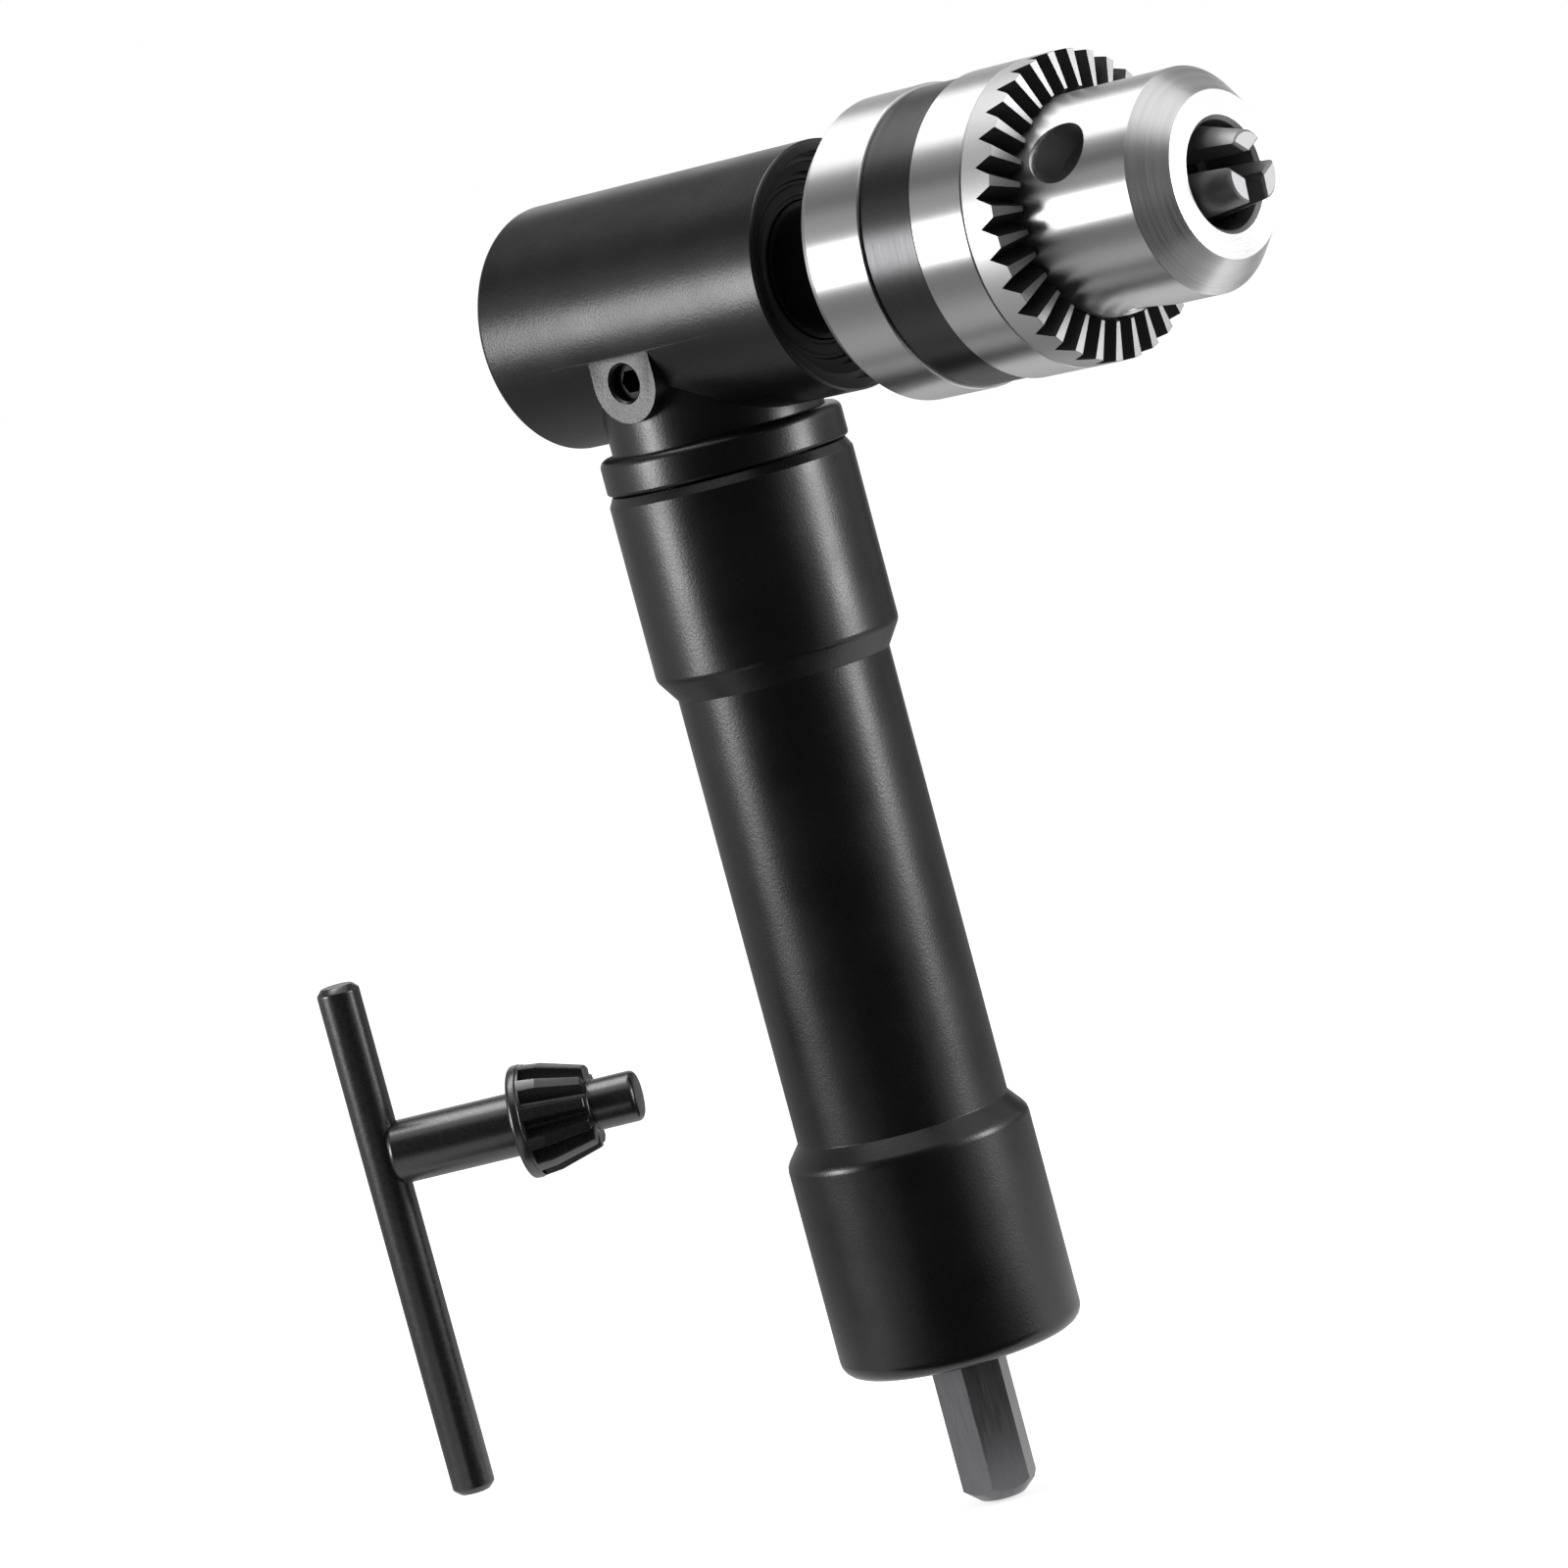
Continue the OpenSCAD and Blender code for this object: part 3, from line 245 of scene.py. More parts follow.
# Finely turned and polished: bright and dark bands along the axis, soft at their edges.
chuck_steel = turned_steel("turned_chuck_steel", "#C4C4C5", "#D6D6D7", 0.31, 0.37,
                           spacing=0.1, depth=0.0008, stretch=0.88)
# Turned but not polished: the rings stand out on the nose's cone.
cone_steel = turned_steel("fine_turned_cone_steel", "#B0B0B1", "#DEDEDF", 0.3, 0.38,
                          spacing=0.1, depth=0.0012, stretch=0.8)
# Face ground: even and nearly white, with hardly a mark.
ground_face = turned_steel("ground_steel_face", "#CDCDCE", "#D7D7D8", 0.26, 0.3,
                           spacing=0.12, depth=0.0002, stretch=0.4)
# Turned and then blackened: a dark mirror with the lathe's rings still in it. On the jaw holes'
# walls it is painted shade.
ring_black_and_hole_shade = turned_steel("blackened_ring_steel_and_hole_shade", "#444445", "#59595A", 0.3, 0.4,
                          spacing=0.14, depth=0.002)
print("made", chuck_steel.name, cone_steel.name, ground_face.name, ring_black_and_hole_shade.name)

# %% [markdown]
# ## Plain steels and the key's black finish
#
# The gaps between the sleeve's teeth are near-black, a black that also paints shade on the
# sleeve's bore, and the key, the spindle and the clips are blackened. Jaws are ground to a mid
# grey, the shank is dark drawn steel, and bearings and pins are bright. All are an even grain
# between two colours, so one recipe makes them, and each gets the grain size in millimetres
# that fits how it was made.

# %% Grained finishes
def grained(name, dark, light, metallic, low, high, grain, depth, stretch=(1, 1, 1), **more):
    """A finish with a grain of this size in mm, stretched along an axis by shares under one."""
    material, tree, shader = start_finish(name, light, metallic, low, **more)
    place = add(tree, "ShaderNodeTexCoord").outputs["Object"]
    drawn = add(tree, "ShaderNodeMapping", links=[("Vector", place)], values=[("Scale", stretch)])
    noise = add(tree, "ShaderNodeTexNoise", links=[("Vector", drawn.outputs[0])],
                values=[("Scale", per_mm(grain)), ("Detail", 3.0), ("Roughness", 0.6)])
    shade = add(tree, "ShaderNodeMix", data_type="RGBA", links=[(0, noise.outputs["Fac"])],
                values=[(6, paint(dark)), (7, paint(light))])
    tree.links.new(shade.outputs[2], shader.inputs["Base Color"])
    roughness_between(tree, shader, noise.outputs["Fac"], low, high)
    relief(tree, shader, noise.outputs["Fac"], depth, 0.7)
    return material


# Blasted: a dull, sandy light grey without a direction.
sandy_steel = grained("blasted_sleeve_steel", "#AEAEAF", "#C8C8C9", 1.0, 0.42, 0.52, 0.09, 0.008)
# Left as the cutter made it: a rough, patchy grey on the narrow tooth tops.
land_steel = grained("rough_tooth_steel", "#8C8C8D", "#BEBEBF", 1.0, 0.42, 0.56, 0.12, 0.02)
# Near-black for the tooth gaps, and painted shade on the sleeve's bore: a dark skin with some metal
# in its sheen.
black_for_gaps_and_bore_shade = grained("black_gaps_and_painted_bore_shade", "#242425", "#38383A", 0.5, 0.34, 0.46, 0.3, 0.01)
# Oiled black oxide: deep black with clear highlights.
key_black = grained("black_oxide", "#111112", "#19191A", 0.0, 0.25, 0.32, 0.5, 0.002,
                    specular_ior_level=0.9)
# Thin black oxide over turned steel: black with a metal sheen. On the front bearing's rings it is
# painted shade in the head's mouth.
spindle_black_and_mouth_shade = grained("black_spindle_steel_and_mouth_shade", "#101011", "#1B1B1C", 0.4, 0.34, 0.44, 0.4, 0.006)
# Hardened and ground: a matt mid grey.
jaw_steel = grained("ground_jaw_steel", "#868687", "#9E9E9F", 1.0, 0.5, 0.58, 0.15, 0.004)
# Cold drawn: dark grey, with its grain pulled out along the bar.
shank_steel = grained("drawn_shank_steel", "#565658", "#68686A", 1.0, 0.34, 0.42, 0.3, 0.002,
                      (1, 1, 0.08))
# Polished bearing steel: a nearly clean mirror.
bright_steel = grained("bearing_steel", "#B8B8BA", "#D2D2D4", 1.0, 0.16, 0.24, 0.4, 0.002)
# Machine cut: a mid grey with a short sheen.
gear_steel = grained("cut_gear_steel", "#77777A", "#8E8E90", 1.0, 0.3, 0.42, 0.3, 0.005)
# Phosphated spring steel: black grey and rather dull.
clip_steel = grained("phosphated_spring_steel", "#1B1B1C", "#29292A", 0.6, 0.4, 0.5, 0.2, 0.006)
# Dry black oxide, made darker than the screw's own finish as painted shade down in the lug's hole.
screw_oxide_and_hole_shade = grained("black_oxide_and_painted_hole_shade", "#050505", "#0A0A0A", 0.0, 0.45, 0.55, 0.3, 0.004,
                      specular_ior_level=0.25)
# Moulded rubber: black and dull.
rubber = grained("moulded_seal_rubber", "#0E0E0E", "#161616", 0.0, 0.5, 0.6, 0.3, 0.01)
# Turned bronze: a warm yellow brown.
nut_bronze = grained("turned_bronze", "#8E6F3C", "#A9874B", 1.0, 0.28, 0.4, 0.3, 0.005)
print("made", len(bpy.data.materials), "materials so far")

# %% [markdown]
# ## Finishes on the hidden pieces
#
# Gears, bearings, clips and pins keep their exact solids, because little or nothing of them
# shows. They still get the finish of the real piece, for anyone who takes the tool apart, but
# the front bearing's rings are dressed black as painted shade in the head's mouth, and the lug's
# set screw is made darker than its own finish as painted shade in its hole. Only their material
# slots are filled, since a imported solid is never moved or reshaped here.

# %% Dress the carried-over solids
def dress(material, *names):
    """Gives CAD nodes a finish through their own material slots."""
    for name in names:
        node = nodes[name]
        if not node.material_slots:
            node.data.materials.append(material)
        for slot in node.material_slots:
            slot.material = material


dress(bright_steel, "front_bearing_balls", "rear_bearing_outer_ring",
      "rear_bearing_inner_ring", "rear_bearing_balls", "upper_bearing_outer_ring",
      "upper_bearing_inner_ring", "upper_bearing_balls", "lower_bearing_outer_ring",
      "lower_bearing_inner_ring", "lower_bearing_balls", "pinion_cross_pin", "gear_cross_pin")
dress(gear_steel, "drive_pinion", "driven_bevel_gear", "spacer_sleeve", "thrust_washer",
      "retaining_screw")
dress(clip_steel, "front_circlip", "upper_bearing_circlip", "lower_bearing_circlip")
# Painted shade: the front bearing's rings are dressed black, so the head's mouth reads dark.
dress(spindle_black_and_mouth_shade, "output_spindle", "front_bearing_outer_ring", "front_bearing_inner_ring")
# Painted shade: the set screw is made nearly black, so the lug's hole reads dark.
dress(screw_oxide_and_hole_shade, "lug_set_screw")
dress(shank_steel, "input_shaft")
dress(nut_bronze, "split_nut_near_half", "split_nut_far_half")
dress(enamel, "head_housing", "collar_ring", "handle_tube")
dress(chuck_steel, "chuck_body", "toothed_sleeve")
dress(ring_black_and_hole_shade, "dark_ring")
dress(jaw_steel, "jaw_1", "jaw_2", "jaw_3")
dress(key_black, "key_shaft", "key_cross_bar")
print("dressed", len(nodes), "nodes")

# %% [markdown]
# ## Turned pieces
#
# Nearly everything here was made on a lathe, so nearly everything starts as half an outline
# that is spun round its axis. The outline is drawn in millimetres by extruding one vertex from
# corner to corner, each corner with its own rounding, because even a crisp machined edge has
# a small one, and it is that which catches the light. A bevel on the spun piece would round
# all its edges alike.

# %% Draw an outline and spin it
ARC_STEP = math.radians(18)
SAME_POINT = 0.0005


def rounded(corners, closed):
    """Turns (along, radius, rounding) corners into points, with an arc at each rounding."""
    points = []
    for i, (along, radius, size) in enumerate(corners):
        here = Vector((along, radius))
        inner = closed or 0 < i < len(corners) - 1
        if not size or not inner:
            points.append(here)
            continue
        back = (Vector(corners[i - 1][:2]) - here).normalized()
        ahead = (Vector(corners[(i + 1) % len(corners)][:2]) - here).normalized()
        half = back.angle(ahead) / 2
        middle = here + (back + ahead).normalized() * size / math.sin(half)
        first = here + back * size / math.tan(half) - middle
        last = here + ahead * size / math.tan(half) - middle
        start = math.atan2(first.y, first.x)
        sweep = (math.atan2(last.y, last.x) - start + math.pi) % (2 * math.pi) - math.pi
        steps = max(2, round(abs(sweep) / ARC_STEP))
        for k in range(steps + 1):
            turn = start + sweep * k / steps
            points.append(middle + Vector((math.cos(turn), math.sin(turn))) * size)
    return points


def take(piece):
    """Makes this piece the only selected and active one."""
    bpy.ops.object.select_all(action="DESELECT")
    piece.select_set(True)
    bpy.context.view_layer.objects.active = piece


def turned(name, corners, steps=128):
    """Spins an outline of (along, radius, rounding) in mm round the upright axis."""
    closed = corners[0][1] > 0 or corners[-1][1] > 0
    path = [Vector((p.y, 0, p.x)) for p in rounded(corners, closed)]
    if closed:
        path.append(path[0])
    bpy.ops.object.select_all(action="DESELECT")
    bpy.ops.mesh.primitive_plane_add(size=1, location=path[0])
    piece = bpy.context.object
    piece.name = name
    bpy.ops.object.mode_set(mode="EDIT")
    bpy.ops.mesh.merge(type="CENTER")
    for here, there in zip(path, path[1:]):
        bpy.ops.mesh.extrude_region_move(TRANSFORM_OT_translate={"value": there - here})
    bpy.ops.mesh.select_all(action="SELECT")
    bpy.ops.mesh.spin(steps=steps, angle=2 * math.pi, center=(0, 0, 0), axis=(0, 0, 1))
    bpy.ops.mesh.select_all(action="SELECT")
    bpy.ops.mesh.remove_doubles(threshold=SAME_POINT)
    bpy.ops.mesh.normals_make_consistent(inside=False)
    bpy.ops.object.mode_set(mode="OBJECT")
    bpy.ops.object.transform_apply(location=True, rotation=False, scale=False)
    return piece


print("a rounded corner has", len(rounded([(0, 0, 0), (0, 5, 1), (5, 5, 0)], False)) - 2, "points")

# %% [markdown]
# ## Cutting and placing
#
# Holes, flats and tooth gaps are cut with a second solid and the Boolean modifier, as a
# milling cutter would cut them. A cutter can bring its own material, so the cut faces get
# another finish than the turned ones. Pieces are shaped in millimetres round the upright axis
# and set in their place last, which leaves every object at the origin, unturned and unscaled.

# %% Cut, soften, place and finish
ON_SHANK = Matrix.Identity(4)
ON_CHUCK = Matrix.Translation((0, 0, AXIS_HEIGHT)) @ Matrix.Rotation(math.pi / 2, 4, "Y")


def about(degrees, axis="Z"):
    """A turn about one axis, in degrees."""
    return Matrix.Rotation(math.radians(degrees), 4, axis)


def move(x, y, z):
    """A shift in millimetres."""
    return Matrix.Translation((x, y, z))


def put(piece, matrix):
    """Moves a piece and settles its place into its mesh."""
    take(piece)
    piece.matrix_world = matrix @ piece.matrix_world
    bpy.ops.object.transform_apply(location=True, rotation=True, scale=True)
    return piece


def apply(piece, kind, **settings):
    """Adds a modifier with its settings and applies it."""
    take(piece)
    made = piece.modifiers.new(kind.lower(), kind)
    for name, value in settings.items():
        setattr(made, name, value)
    bpy.ops.object.modifier_apply(modifier=made.name)


def carve(piece, tool, operation="DIFFERENCE"):
    """Cuts a piece with a tool, or joins or intersects them, and clears the tool away."""
    apply(piece, "BOOLEAN", operation=operation, solver="EXACT", object=tool,
          material_mode="TRANSFER")
    bpy.data.objects.remove(tool)


def peg(radius, low, high, vertices=96):
    """A round cutter on the upright axis."""
    bpy.ops.object.select_all(action="DESELECT")
    bpy.ops.mesh.primitive_cylinder_add(vertices=vertices, radius=radius, depth=high - low,
                                        location=(0, 0, (low + high) / 2))
    tool = bpy.context.object
    bpy.ops.object.transform_apply(location=True, rotation=False, scale=False)
    return tool


def coat(piece, material):
    """Gives a piece its only finish."""
    piece.data.materials.clear()
    piece.data.materials.append(material)
    return piece


def finish_where(piece, material, test):
    """Gives another finish to the faces whose centre passes a test of (along, radius)."""
    piece.data.materials.append(material)
    for face in piece.data.polygons:
        if test(face.center.z, math.hypot(face.center.x, face.center.y)):
            face.material_index = len(piece.data.materials) - 1


def tidy_faces(piece, threshold=0.004):
    """Merges what a cut left doubled, to a threshold in mm, and clears slivers."""
    take(piece)
    bpy.ops.object.mode_set(mode="EDIT")
    bpy.ops.mesh.select_all(action="SELECT")
    bpy.ops.mesh.remove_doubles(threshold=threshold)
    bpy.ops.mesh.dissolve_degenerate(threshold=threshold / 4)
    bpy.ops.object.mode_set(mode="OBJECT")


def settle(piece, matrix, body, *replaced, crease=33):
    """Brings a shaped piece to metres, shades it and lets it ride in place of its nodes."""
    put(piece, Matrix.Scale(MM, 4) @ matrix)
    bpy.ops.object.shade_smooth_by_angle(angle=math.radians(crease))
    apply(piece, "WEIGHTED_NORMAL", keep_sharp=True, weight=60)
    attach(piece, body)
    if replaced:
        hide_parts(*replaced)
    print(piece.name, "rides on", body, "with", len(piece.data.polygons), "faces")
    return piece


# %% [markdown]
# ## Handle
#
# The handle is one steel tube, thick at the top where it takes the head, slim in the middle
# and wide again at the cup that holds the lower bearing. It could be three stacked cylinders,
# but then its shoulders would have no rounding, so the outline runs once round its wall,
# outside and inside, with the lower bearing's seat and the clip's groove.

# %% Handle
handle = turned("handle_body", [
    (17.9, 11.3, 0.3), (17.9, 14.275, 1.9), (43.3, 14.275, 1.7), (45.6, 12.45, 0.15),
    (98.55, 12.45, 0.2), (101.3, 14.275, 1.4), (121.7, 14.275, 0.3), (122.8, 13.7, 0.15),
    (122.8, 11.4, 0.1), (111.8, 11.4, 0), (111.8, 9.5, 0), (28.9, 9.5, 0), (28.9, 11, 0),
    (21.9, 11, 0), (21.9, 11.65, 0), (20.9, 11.65, 0), (20.9, 11, 0), (18.9, 11, 0),
    (18.9, 11.3, 0)], 160)
settle(coat(handle, enamel), ON_SHANK, "housing", "handle_tube")

# %% [markdown]
# ## Collar
#
# A plain ring sits on the handle's top and closes the joint to the head. Its upper edge is
# turned much softer than the lower one, so the two corners get roundings of their own.

# %% Collar
collar = turned("neck_collar", [
    (123, 12.45, 0), (123, 14.15, 0.4), (127.2, 14.15, 1.05), (127.2, 12.45, 0)], 144)
settle(coat(collar, enamel), ON_SHANK, "housing", "collar_ring")

# %% [markdown]
# ## Head
#
# The head is a round casting that lies across the neck. Barrel and neck are turned shapes,
# and the small lug on the side is a circle whose upper half is pulled up into a U. They are
# joined while they are solid, because a join of hollow ones would leave walls standing
# inside. The long edge where neck and barrel meet stays crisp.

# %% Barrel, neck and lug
head = put(turned("head_casting", [
    (-19.4, 0, 0), (-19.4, 14.2, 0.8), (23.9, 14.2, 0.35), (23.9, 12.8, 0.25),
    (22, 12.8, 0.1), (22, 0, 0)], 144), ON_CHUCK)
neck = turned("neck", [
    (111.8, 0, 0), (111.8, 11.4, 0.4), (122.8, 11.4, 0), (122.8, 12.45, 0.1),
    (AXIS_HEIGHT, 12.45, 0), (AXIS_HEIGHT, 0, 0)], 144)
carve(head, neck, "UNION")

LUG_X, LUG_Z, LUG_FACE, LUG_R = 0.4, AXIS_HEIGHT - 6.95, -13.65, 4.65
LUG_TOP, LUG_DEPTH = AXIS_HEIGHT - 1, 12.65
bpy.ops.object.select_all(action="DESELECT")
bpy.ops.mesh.primitive_circle_add(vertices=64, radius=LUG_R, fill_type="NGON",
                                  location=(LUG_X, LUG_FACE, LUG_Z), rotation=(math.pi / 2, 0, 0))
lug = bpy.context.object
bpy.ops.object.transform_apply(location=True, rotation=True, scale=True)
bpy.ops.object.mode_set(mode="EDIT")
shape = bmesh.from_edit_mesh(lug.data)
for vertex in shape.verts:
    if vertex.co.z > LUG_Z + 0.01:
        vertex.co.z = LUG_TOP
bmesh.update_edit_mesh(lug.data)
bpy.ops.mesh.select_all(action="SELECT")
bpy.ops.mesh.extrude_region_move(TRANSFORM_OT_translate={"value": (0, LUG_DEPTH, 0)})
bpy.ops.mesh.select_all(action="SELECT")
bpy.ops.mesh.normals_make_consistent(inside=False)
bpy.ops.object.mode_set(mode="OBJECT")
apply(lug, "BEVEL", width=0.35, segments=3, limit_method="ANGLE", angle_limit=math.radians(50))
carve(head, lug, "UNION")
print("head joined:", len(head.data.polygons), "faces")

# %% [markdown]
# ## Inside the head
#
# The casting is bored from the front for gears, spindle and bearings, with a groove for the
# clip that can be seen in its mouth, and from below for the shaft. The lug is drilled for a
# set screw. Each bore is a turned cutter, so its steps and grooves come in one cut.

# %% Hollow the head
gear_room = put(turned("gear_room", [
    (-17.4, 0, 0), (-17.4, 5.6, 0), (-16.4, 5.6, 0), (-16.4, 8, 0), (-11.4, 8, 0),
    (-11.4, 11.2, 0), (14.6, 11.2, 0), (14.6, 12, 0), (20.6, 12, 0), (20.6, 12.65, 0),
    (21.6, 12.65, 0), (21.6, 12, 0), (24.5, 12, 0), (24.5, 0, 0)], 120), ON_CHUCK)
carve(head, gear_room)
neck_room = turned("neck_room", [
    (110, 0, 0), (110, 9.5, 0), (119.9, 9.5, 0), (119.9, 10.15, 0), (120.9, 10.15, 0),
    (120.9, 9.5, 0), (126.9, 9.5, 0), (126.9, 8.95, 0), (AXIS_HEIGHT, 8.95, 0),
    (AXIS_HEIGHT, 0, 0)], 120)
carve(head, neck_room)
lug_hole = put(turned("lug_hole", [
    (0, 0, 0), (0, 2.1, 0), (13.35, 2.1, 0), (13.9, 2.65, 0), (13.9, 0, 0)], 64),
    move(LUG_X, 0, LUG_Z) @ about(90, "X"))
carve(head, lug_hole)
tidy_faces(head)
settle(coat(head, enamel), ON_SHANK, "housing", "head_housing")

# %% [markdown]
# ## Seals
#
# Both bearings that can be seen are sealed ones: a ring of black rubber closes the gap
# between their rings, with a thin lip at the inner edge and a shallow groove round it. The
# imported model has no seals, so these are pieces of their own that stay with the housing.

# %% Bearing seals
front_seal = turned("front_bearing_seal", [
    (19.9, 7.95, 0.05), (19.9, 10.1, 0.05), (20.35, 10.1, 0.1), (20.35, 9.7, 0.05),
    (20.2, 9.5, 0.05), (20.2, 8.5, 0.05), (20.4, 8.3, 0.05), (20.4, 7.95, 0.08)])
settle(coat(front_seal, rubber), ON_CHUCK, "housing")
lower_seal = turned("lower_bearing_seal", [
    (22.15, 6.2, 0.08), (22.15, 8.8, 0.08), (22.6, 8.8, 0.05), (22.6, 6.2, 0.05)])
settle(coat(lower_seal, rubber), ON_SHANK, "housing")

# %% [markdown]
# ## Hex shank
#
# The input shaft ends in a hexagon for the drill. A bevel would cut its end in straight lines,
# so a six-sided bar is trimmed by a turned envelope instead, whose cones leave the curved line
# that a hexagon bar has where it was chamfered on the lathe. Blender's six-sided cylinder is
# turned by thirty degrees to stand as the solid does. The round part, hidden in the handle,
# is joined on.

# %% Input shaft
ACROSS_FLATS, HEX_TOP, PIN_HEIGHT = 8, 18.2, 130.4
shaft = put(peg(ACROSS_FLATS / math.sqrt(3), -1, HEX_TOP, 6), about(30))
shaft.name = "hex_input_shaft"
envelope = turned("hex_envelope", [
    (0, 0, 0), (0, 2.7, 0.15), (1.7, 4.62, 0), (17.1, 4.63, 0), (HEX_TOP, 4.0, 0),
    (HEX_TOP, 0, 0)], 96)
carve(shaft, envelope, "INTERSECT")
apply(shaft, "BEVEL", width=0.12, segments=2, limit_method="ANGLE",
      angle_limit=math.radians(40))
upper_shaft = turned("upper_shaft", [
    (18.15, 0, 0), (18.15, 5.5, 0.3), (21.9, 5.5, 0.2), (21.9, 4, 0), (137.2, 4, 0.4),
    (137.2, 0, 0)], 96)
carve(shaft, upper_shaft, "UNION")
carve(shaft, put(peg(1, -12, 12, 48), move(0, 0, PIN_HEIGHT) @ about(90, "Y")))
settle(coat(shaft, shank_steel), ON_SHANK, "shaft", "input_shaft", crease=28)

# %% [markdown]
# ## Chuck body
#
# Rear band and nose are one steel piece. The outline runs from the threaded back over the
# band, the seat of the dark ring, the groove for the nut and the nose to the mouth, and ends in
# the bore. Cone, face and mouth were finished in other ways, so their faces are picked by
# their place and get materials of their own.

# %% Turn the chuck body
CONE_FOOT, FACE_RIM, FACE_START, MOUTH_FOOT, MOUTH_RIM = 76, 9.1, 79.35, 60, 6.35
chuck = coat(turned("chuck_turned_body", [
    (33.1, 4.7625, 0), (33.1, 15.95, 0.15), (34.5, 17, 0.25), (42.3, 17, 0.18),
    (42.3, 14.8, 0), (49.6, 14.8, 0), (49.6, 12.9, 0), (51.9, 12.9, 0), (51.9, 10.4, 0),
    (57.5, 10.4, 0), (57.5, 12.3, 0), (75.9, 12.3, 0.12), (79.4, 9.15, 0.12),
    (79.4, 6.4, 0.05), (78.95, 5.95, 0.05), (72.4, 5.95, 0.1), (72.4, 4.8, 0), (50, 4.8, 0),
    (50, 2.5, 0), (46.5, 2.5, 0), (46.5, 4.7625, 0)], 160), chuck_steel)
finish_where(chuck, cone_steel, lambda along, radius: along > CONE_FOOT and radius > FACE_RIM)
finish_where(chuck, ground_face, lambda along, radius: along > FACE_START and radius < FACE_RIM)
finish_where(chuck, jaw_steel, lambda along, radius: along > MOUTH_FOOT and radius < MOUTH_RIM)
print("chuck turned:", len(chuck.data.polygons), "faces")

# %% [markdown]
# ## Holes in the chuck
#
# Three sloping holes guide the jaws, and three short ones between them take the key's pilot,
# each with a ground chamfer that shows as a bright rim. They are drilled with cutters that
# bring the finish of the hole's wall; the jaw holes' walls are dark blackened steel as painted
# shade. One function gives a jaw's direction, and the jaws are placed by it too, so that each
# one stands in its own hole.

# %% Bore the holes for jaws and key
JAW_TURN, KEY_HOLE_TURN, JAW_SLOPE = 86, 146, 14
JAW_TIP, JAW_OFFSET = 83.1, 1.22
JAW_HOLE_RADIUS, JAW_HOLE_BACK = 2.86, 34.25
KEY_HOLE_PLACE, CHAMFER_FOOT = 66.3, 11.7


def jaw_axis(number):
    """From a jaw's own upright axis, with its tip at zero, to the axis of the chuck."""
    return (about(JAW_TURN + 120 * number + 90) @ move(JAW_OFFSET, 0, JAW_TIP)
            @ about(-JAW_SLOPE, "Y"))


reach = (JAW_TIP - JAW_HOLE_BACK) / math.cos(math.radians(JAW_SLOPE))
for number in range(3):
    # Painted shade: the jaw holes' walls get the dark blackened steel, so the holes read dark.
    jaw_hole = coat(peg(JAW_HOLE_RADIUS, -reach, 20), ring_black_and_hole_shade)
    carve(chuck, put(jaw_hole, jaw_axis(number)))
    hole = coat(turned("key_hole", [
        (7.3, 0, 0), (7.3, 3.4, 0), (CHAMFER_FOOT, 3.4, 0), (13.6, 4.6, 0), (13.6, 0, 0)], 72),
        land_steel)
    finish_where(hole, ground_face, lambda along, radius: along > CHAMFER_FOOT + 0.1)
    turn = about(KEY_HOLE_TURN + 120 * number + 90)
    carve(chuck, put(hole, turn @ move(0, 0, KEY_HOLE_PLACE) @ about(90, "Y")))
tidy_faces(chuck)
settle(chuck, ON_CHUCK, "chuck", "chuck_body")

# %% [markdown]
# ## Dark ring
#
# A blackened steel ring is pressed on between band and sleeve, a little lower than both, so
# that a fine step parts them. It is turned in one outline, with both its edges rounded.

# %% Dark ring
dark = turned("plain_dark_ring", [
    (42.32, 14.8, 0), (42.32, 16.65, 0.22), (49.58, 16.65, 0.22), (49.58, 14.8, 0)], 160)
settle(coat(dark, ring_black_and_hole_shade), ON_CHUCK, "chuck", "dark_ring")

# %% [markdown]
# ## Toothed sleeve
#
# The key's pinion runs in thirty-two gaps cut into the sleeve's front. Each gap is a plain V
# whose floor climbs towards the outside, so it ends in a point on the round. Teeth could be
# added one by one, but the real ones are what a cutter left, so one long wedge is modelled,
# copied round the axis and cut all at once. It carries a near-black finish into the gaps.
# The sleeve's bore and inner front chamfer get the same black as painted shade in the gap to
# the nose. A fine groove parts the bright back of the sleeve from its blasted front.

# %% A wedge to cut tooth gaps with
def gap_wedge(deep, half_angle, length, blunt=0.0):
    """A wedge that widens to its depth along X, with a blunt edge on the upright axis."""
    bpy.ops.object.select_all(action="DESELECT")
    bpy.ops.mesh.primitive_plane_add(size=1)
    wedge = bpy.context.object
    bpy.ops.object.mode_set(mode="EDIT")
    bpy.ops.mesh.select_all(action="SELECT")
    bpy.ops.mesh.merge(type="CENTER")
    bpy.ops.transform.translate(value=(0, -blunt, 0))
    side = deep * math.tan(math.radians(half_angle))
    for step in ((deep, blunt - side, 0), (0, 2 * side, 0), (-deep, blunt - side, 0)):
        bpy.ops.mesh.extrude_region_move(TRANSFORM_OT_translate={"value": step})
    bpy.ops.mesh.select_all(action="SELECT")
    bpy.ops.mesh.remove_doubles(threshold=0.001)
    bpy.ops.mesh.edge_face_add()
    bpy.ops.mesh.select_all(action="SELECT")
    bpy.ops.mesh.extrude_region_move(TRANSFORM_OT_translate={"value": (0, 0, length)})
    bpy.ops.mesh.select_all(action="SELECT")
    bpy.ops.mesh.normals_make_consistent(inside=False)
    bpy.ops.object.mode_set(mode="OBJECT")
    return wedge


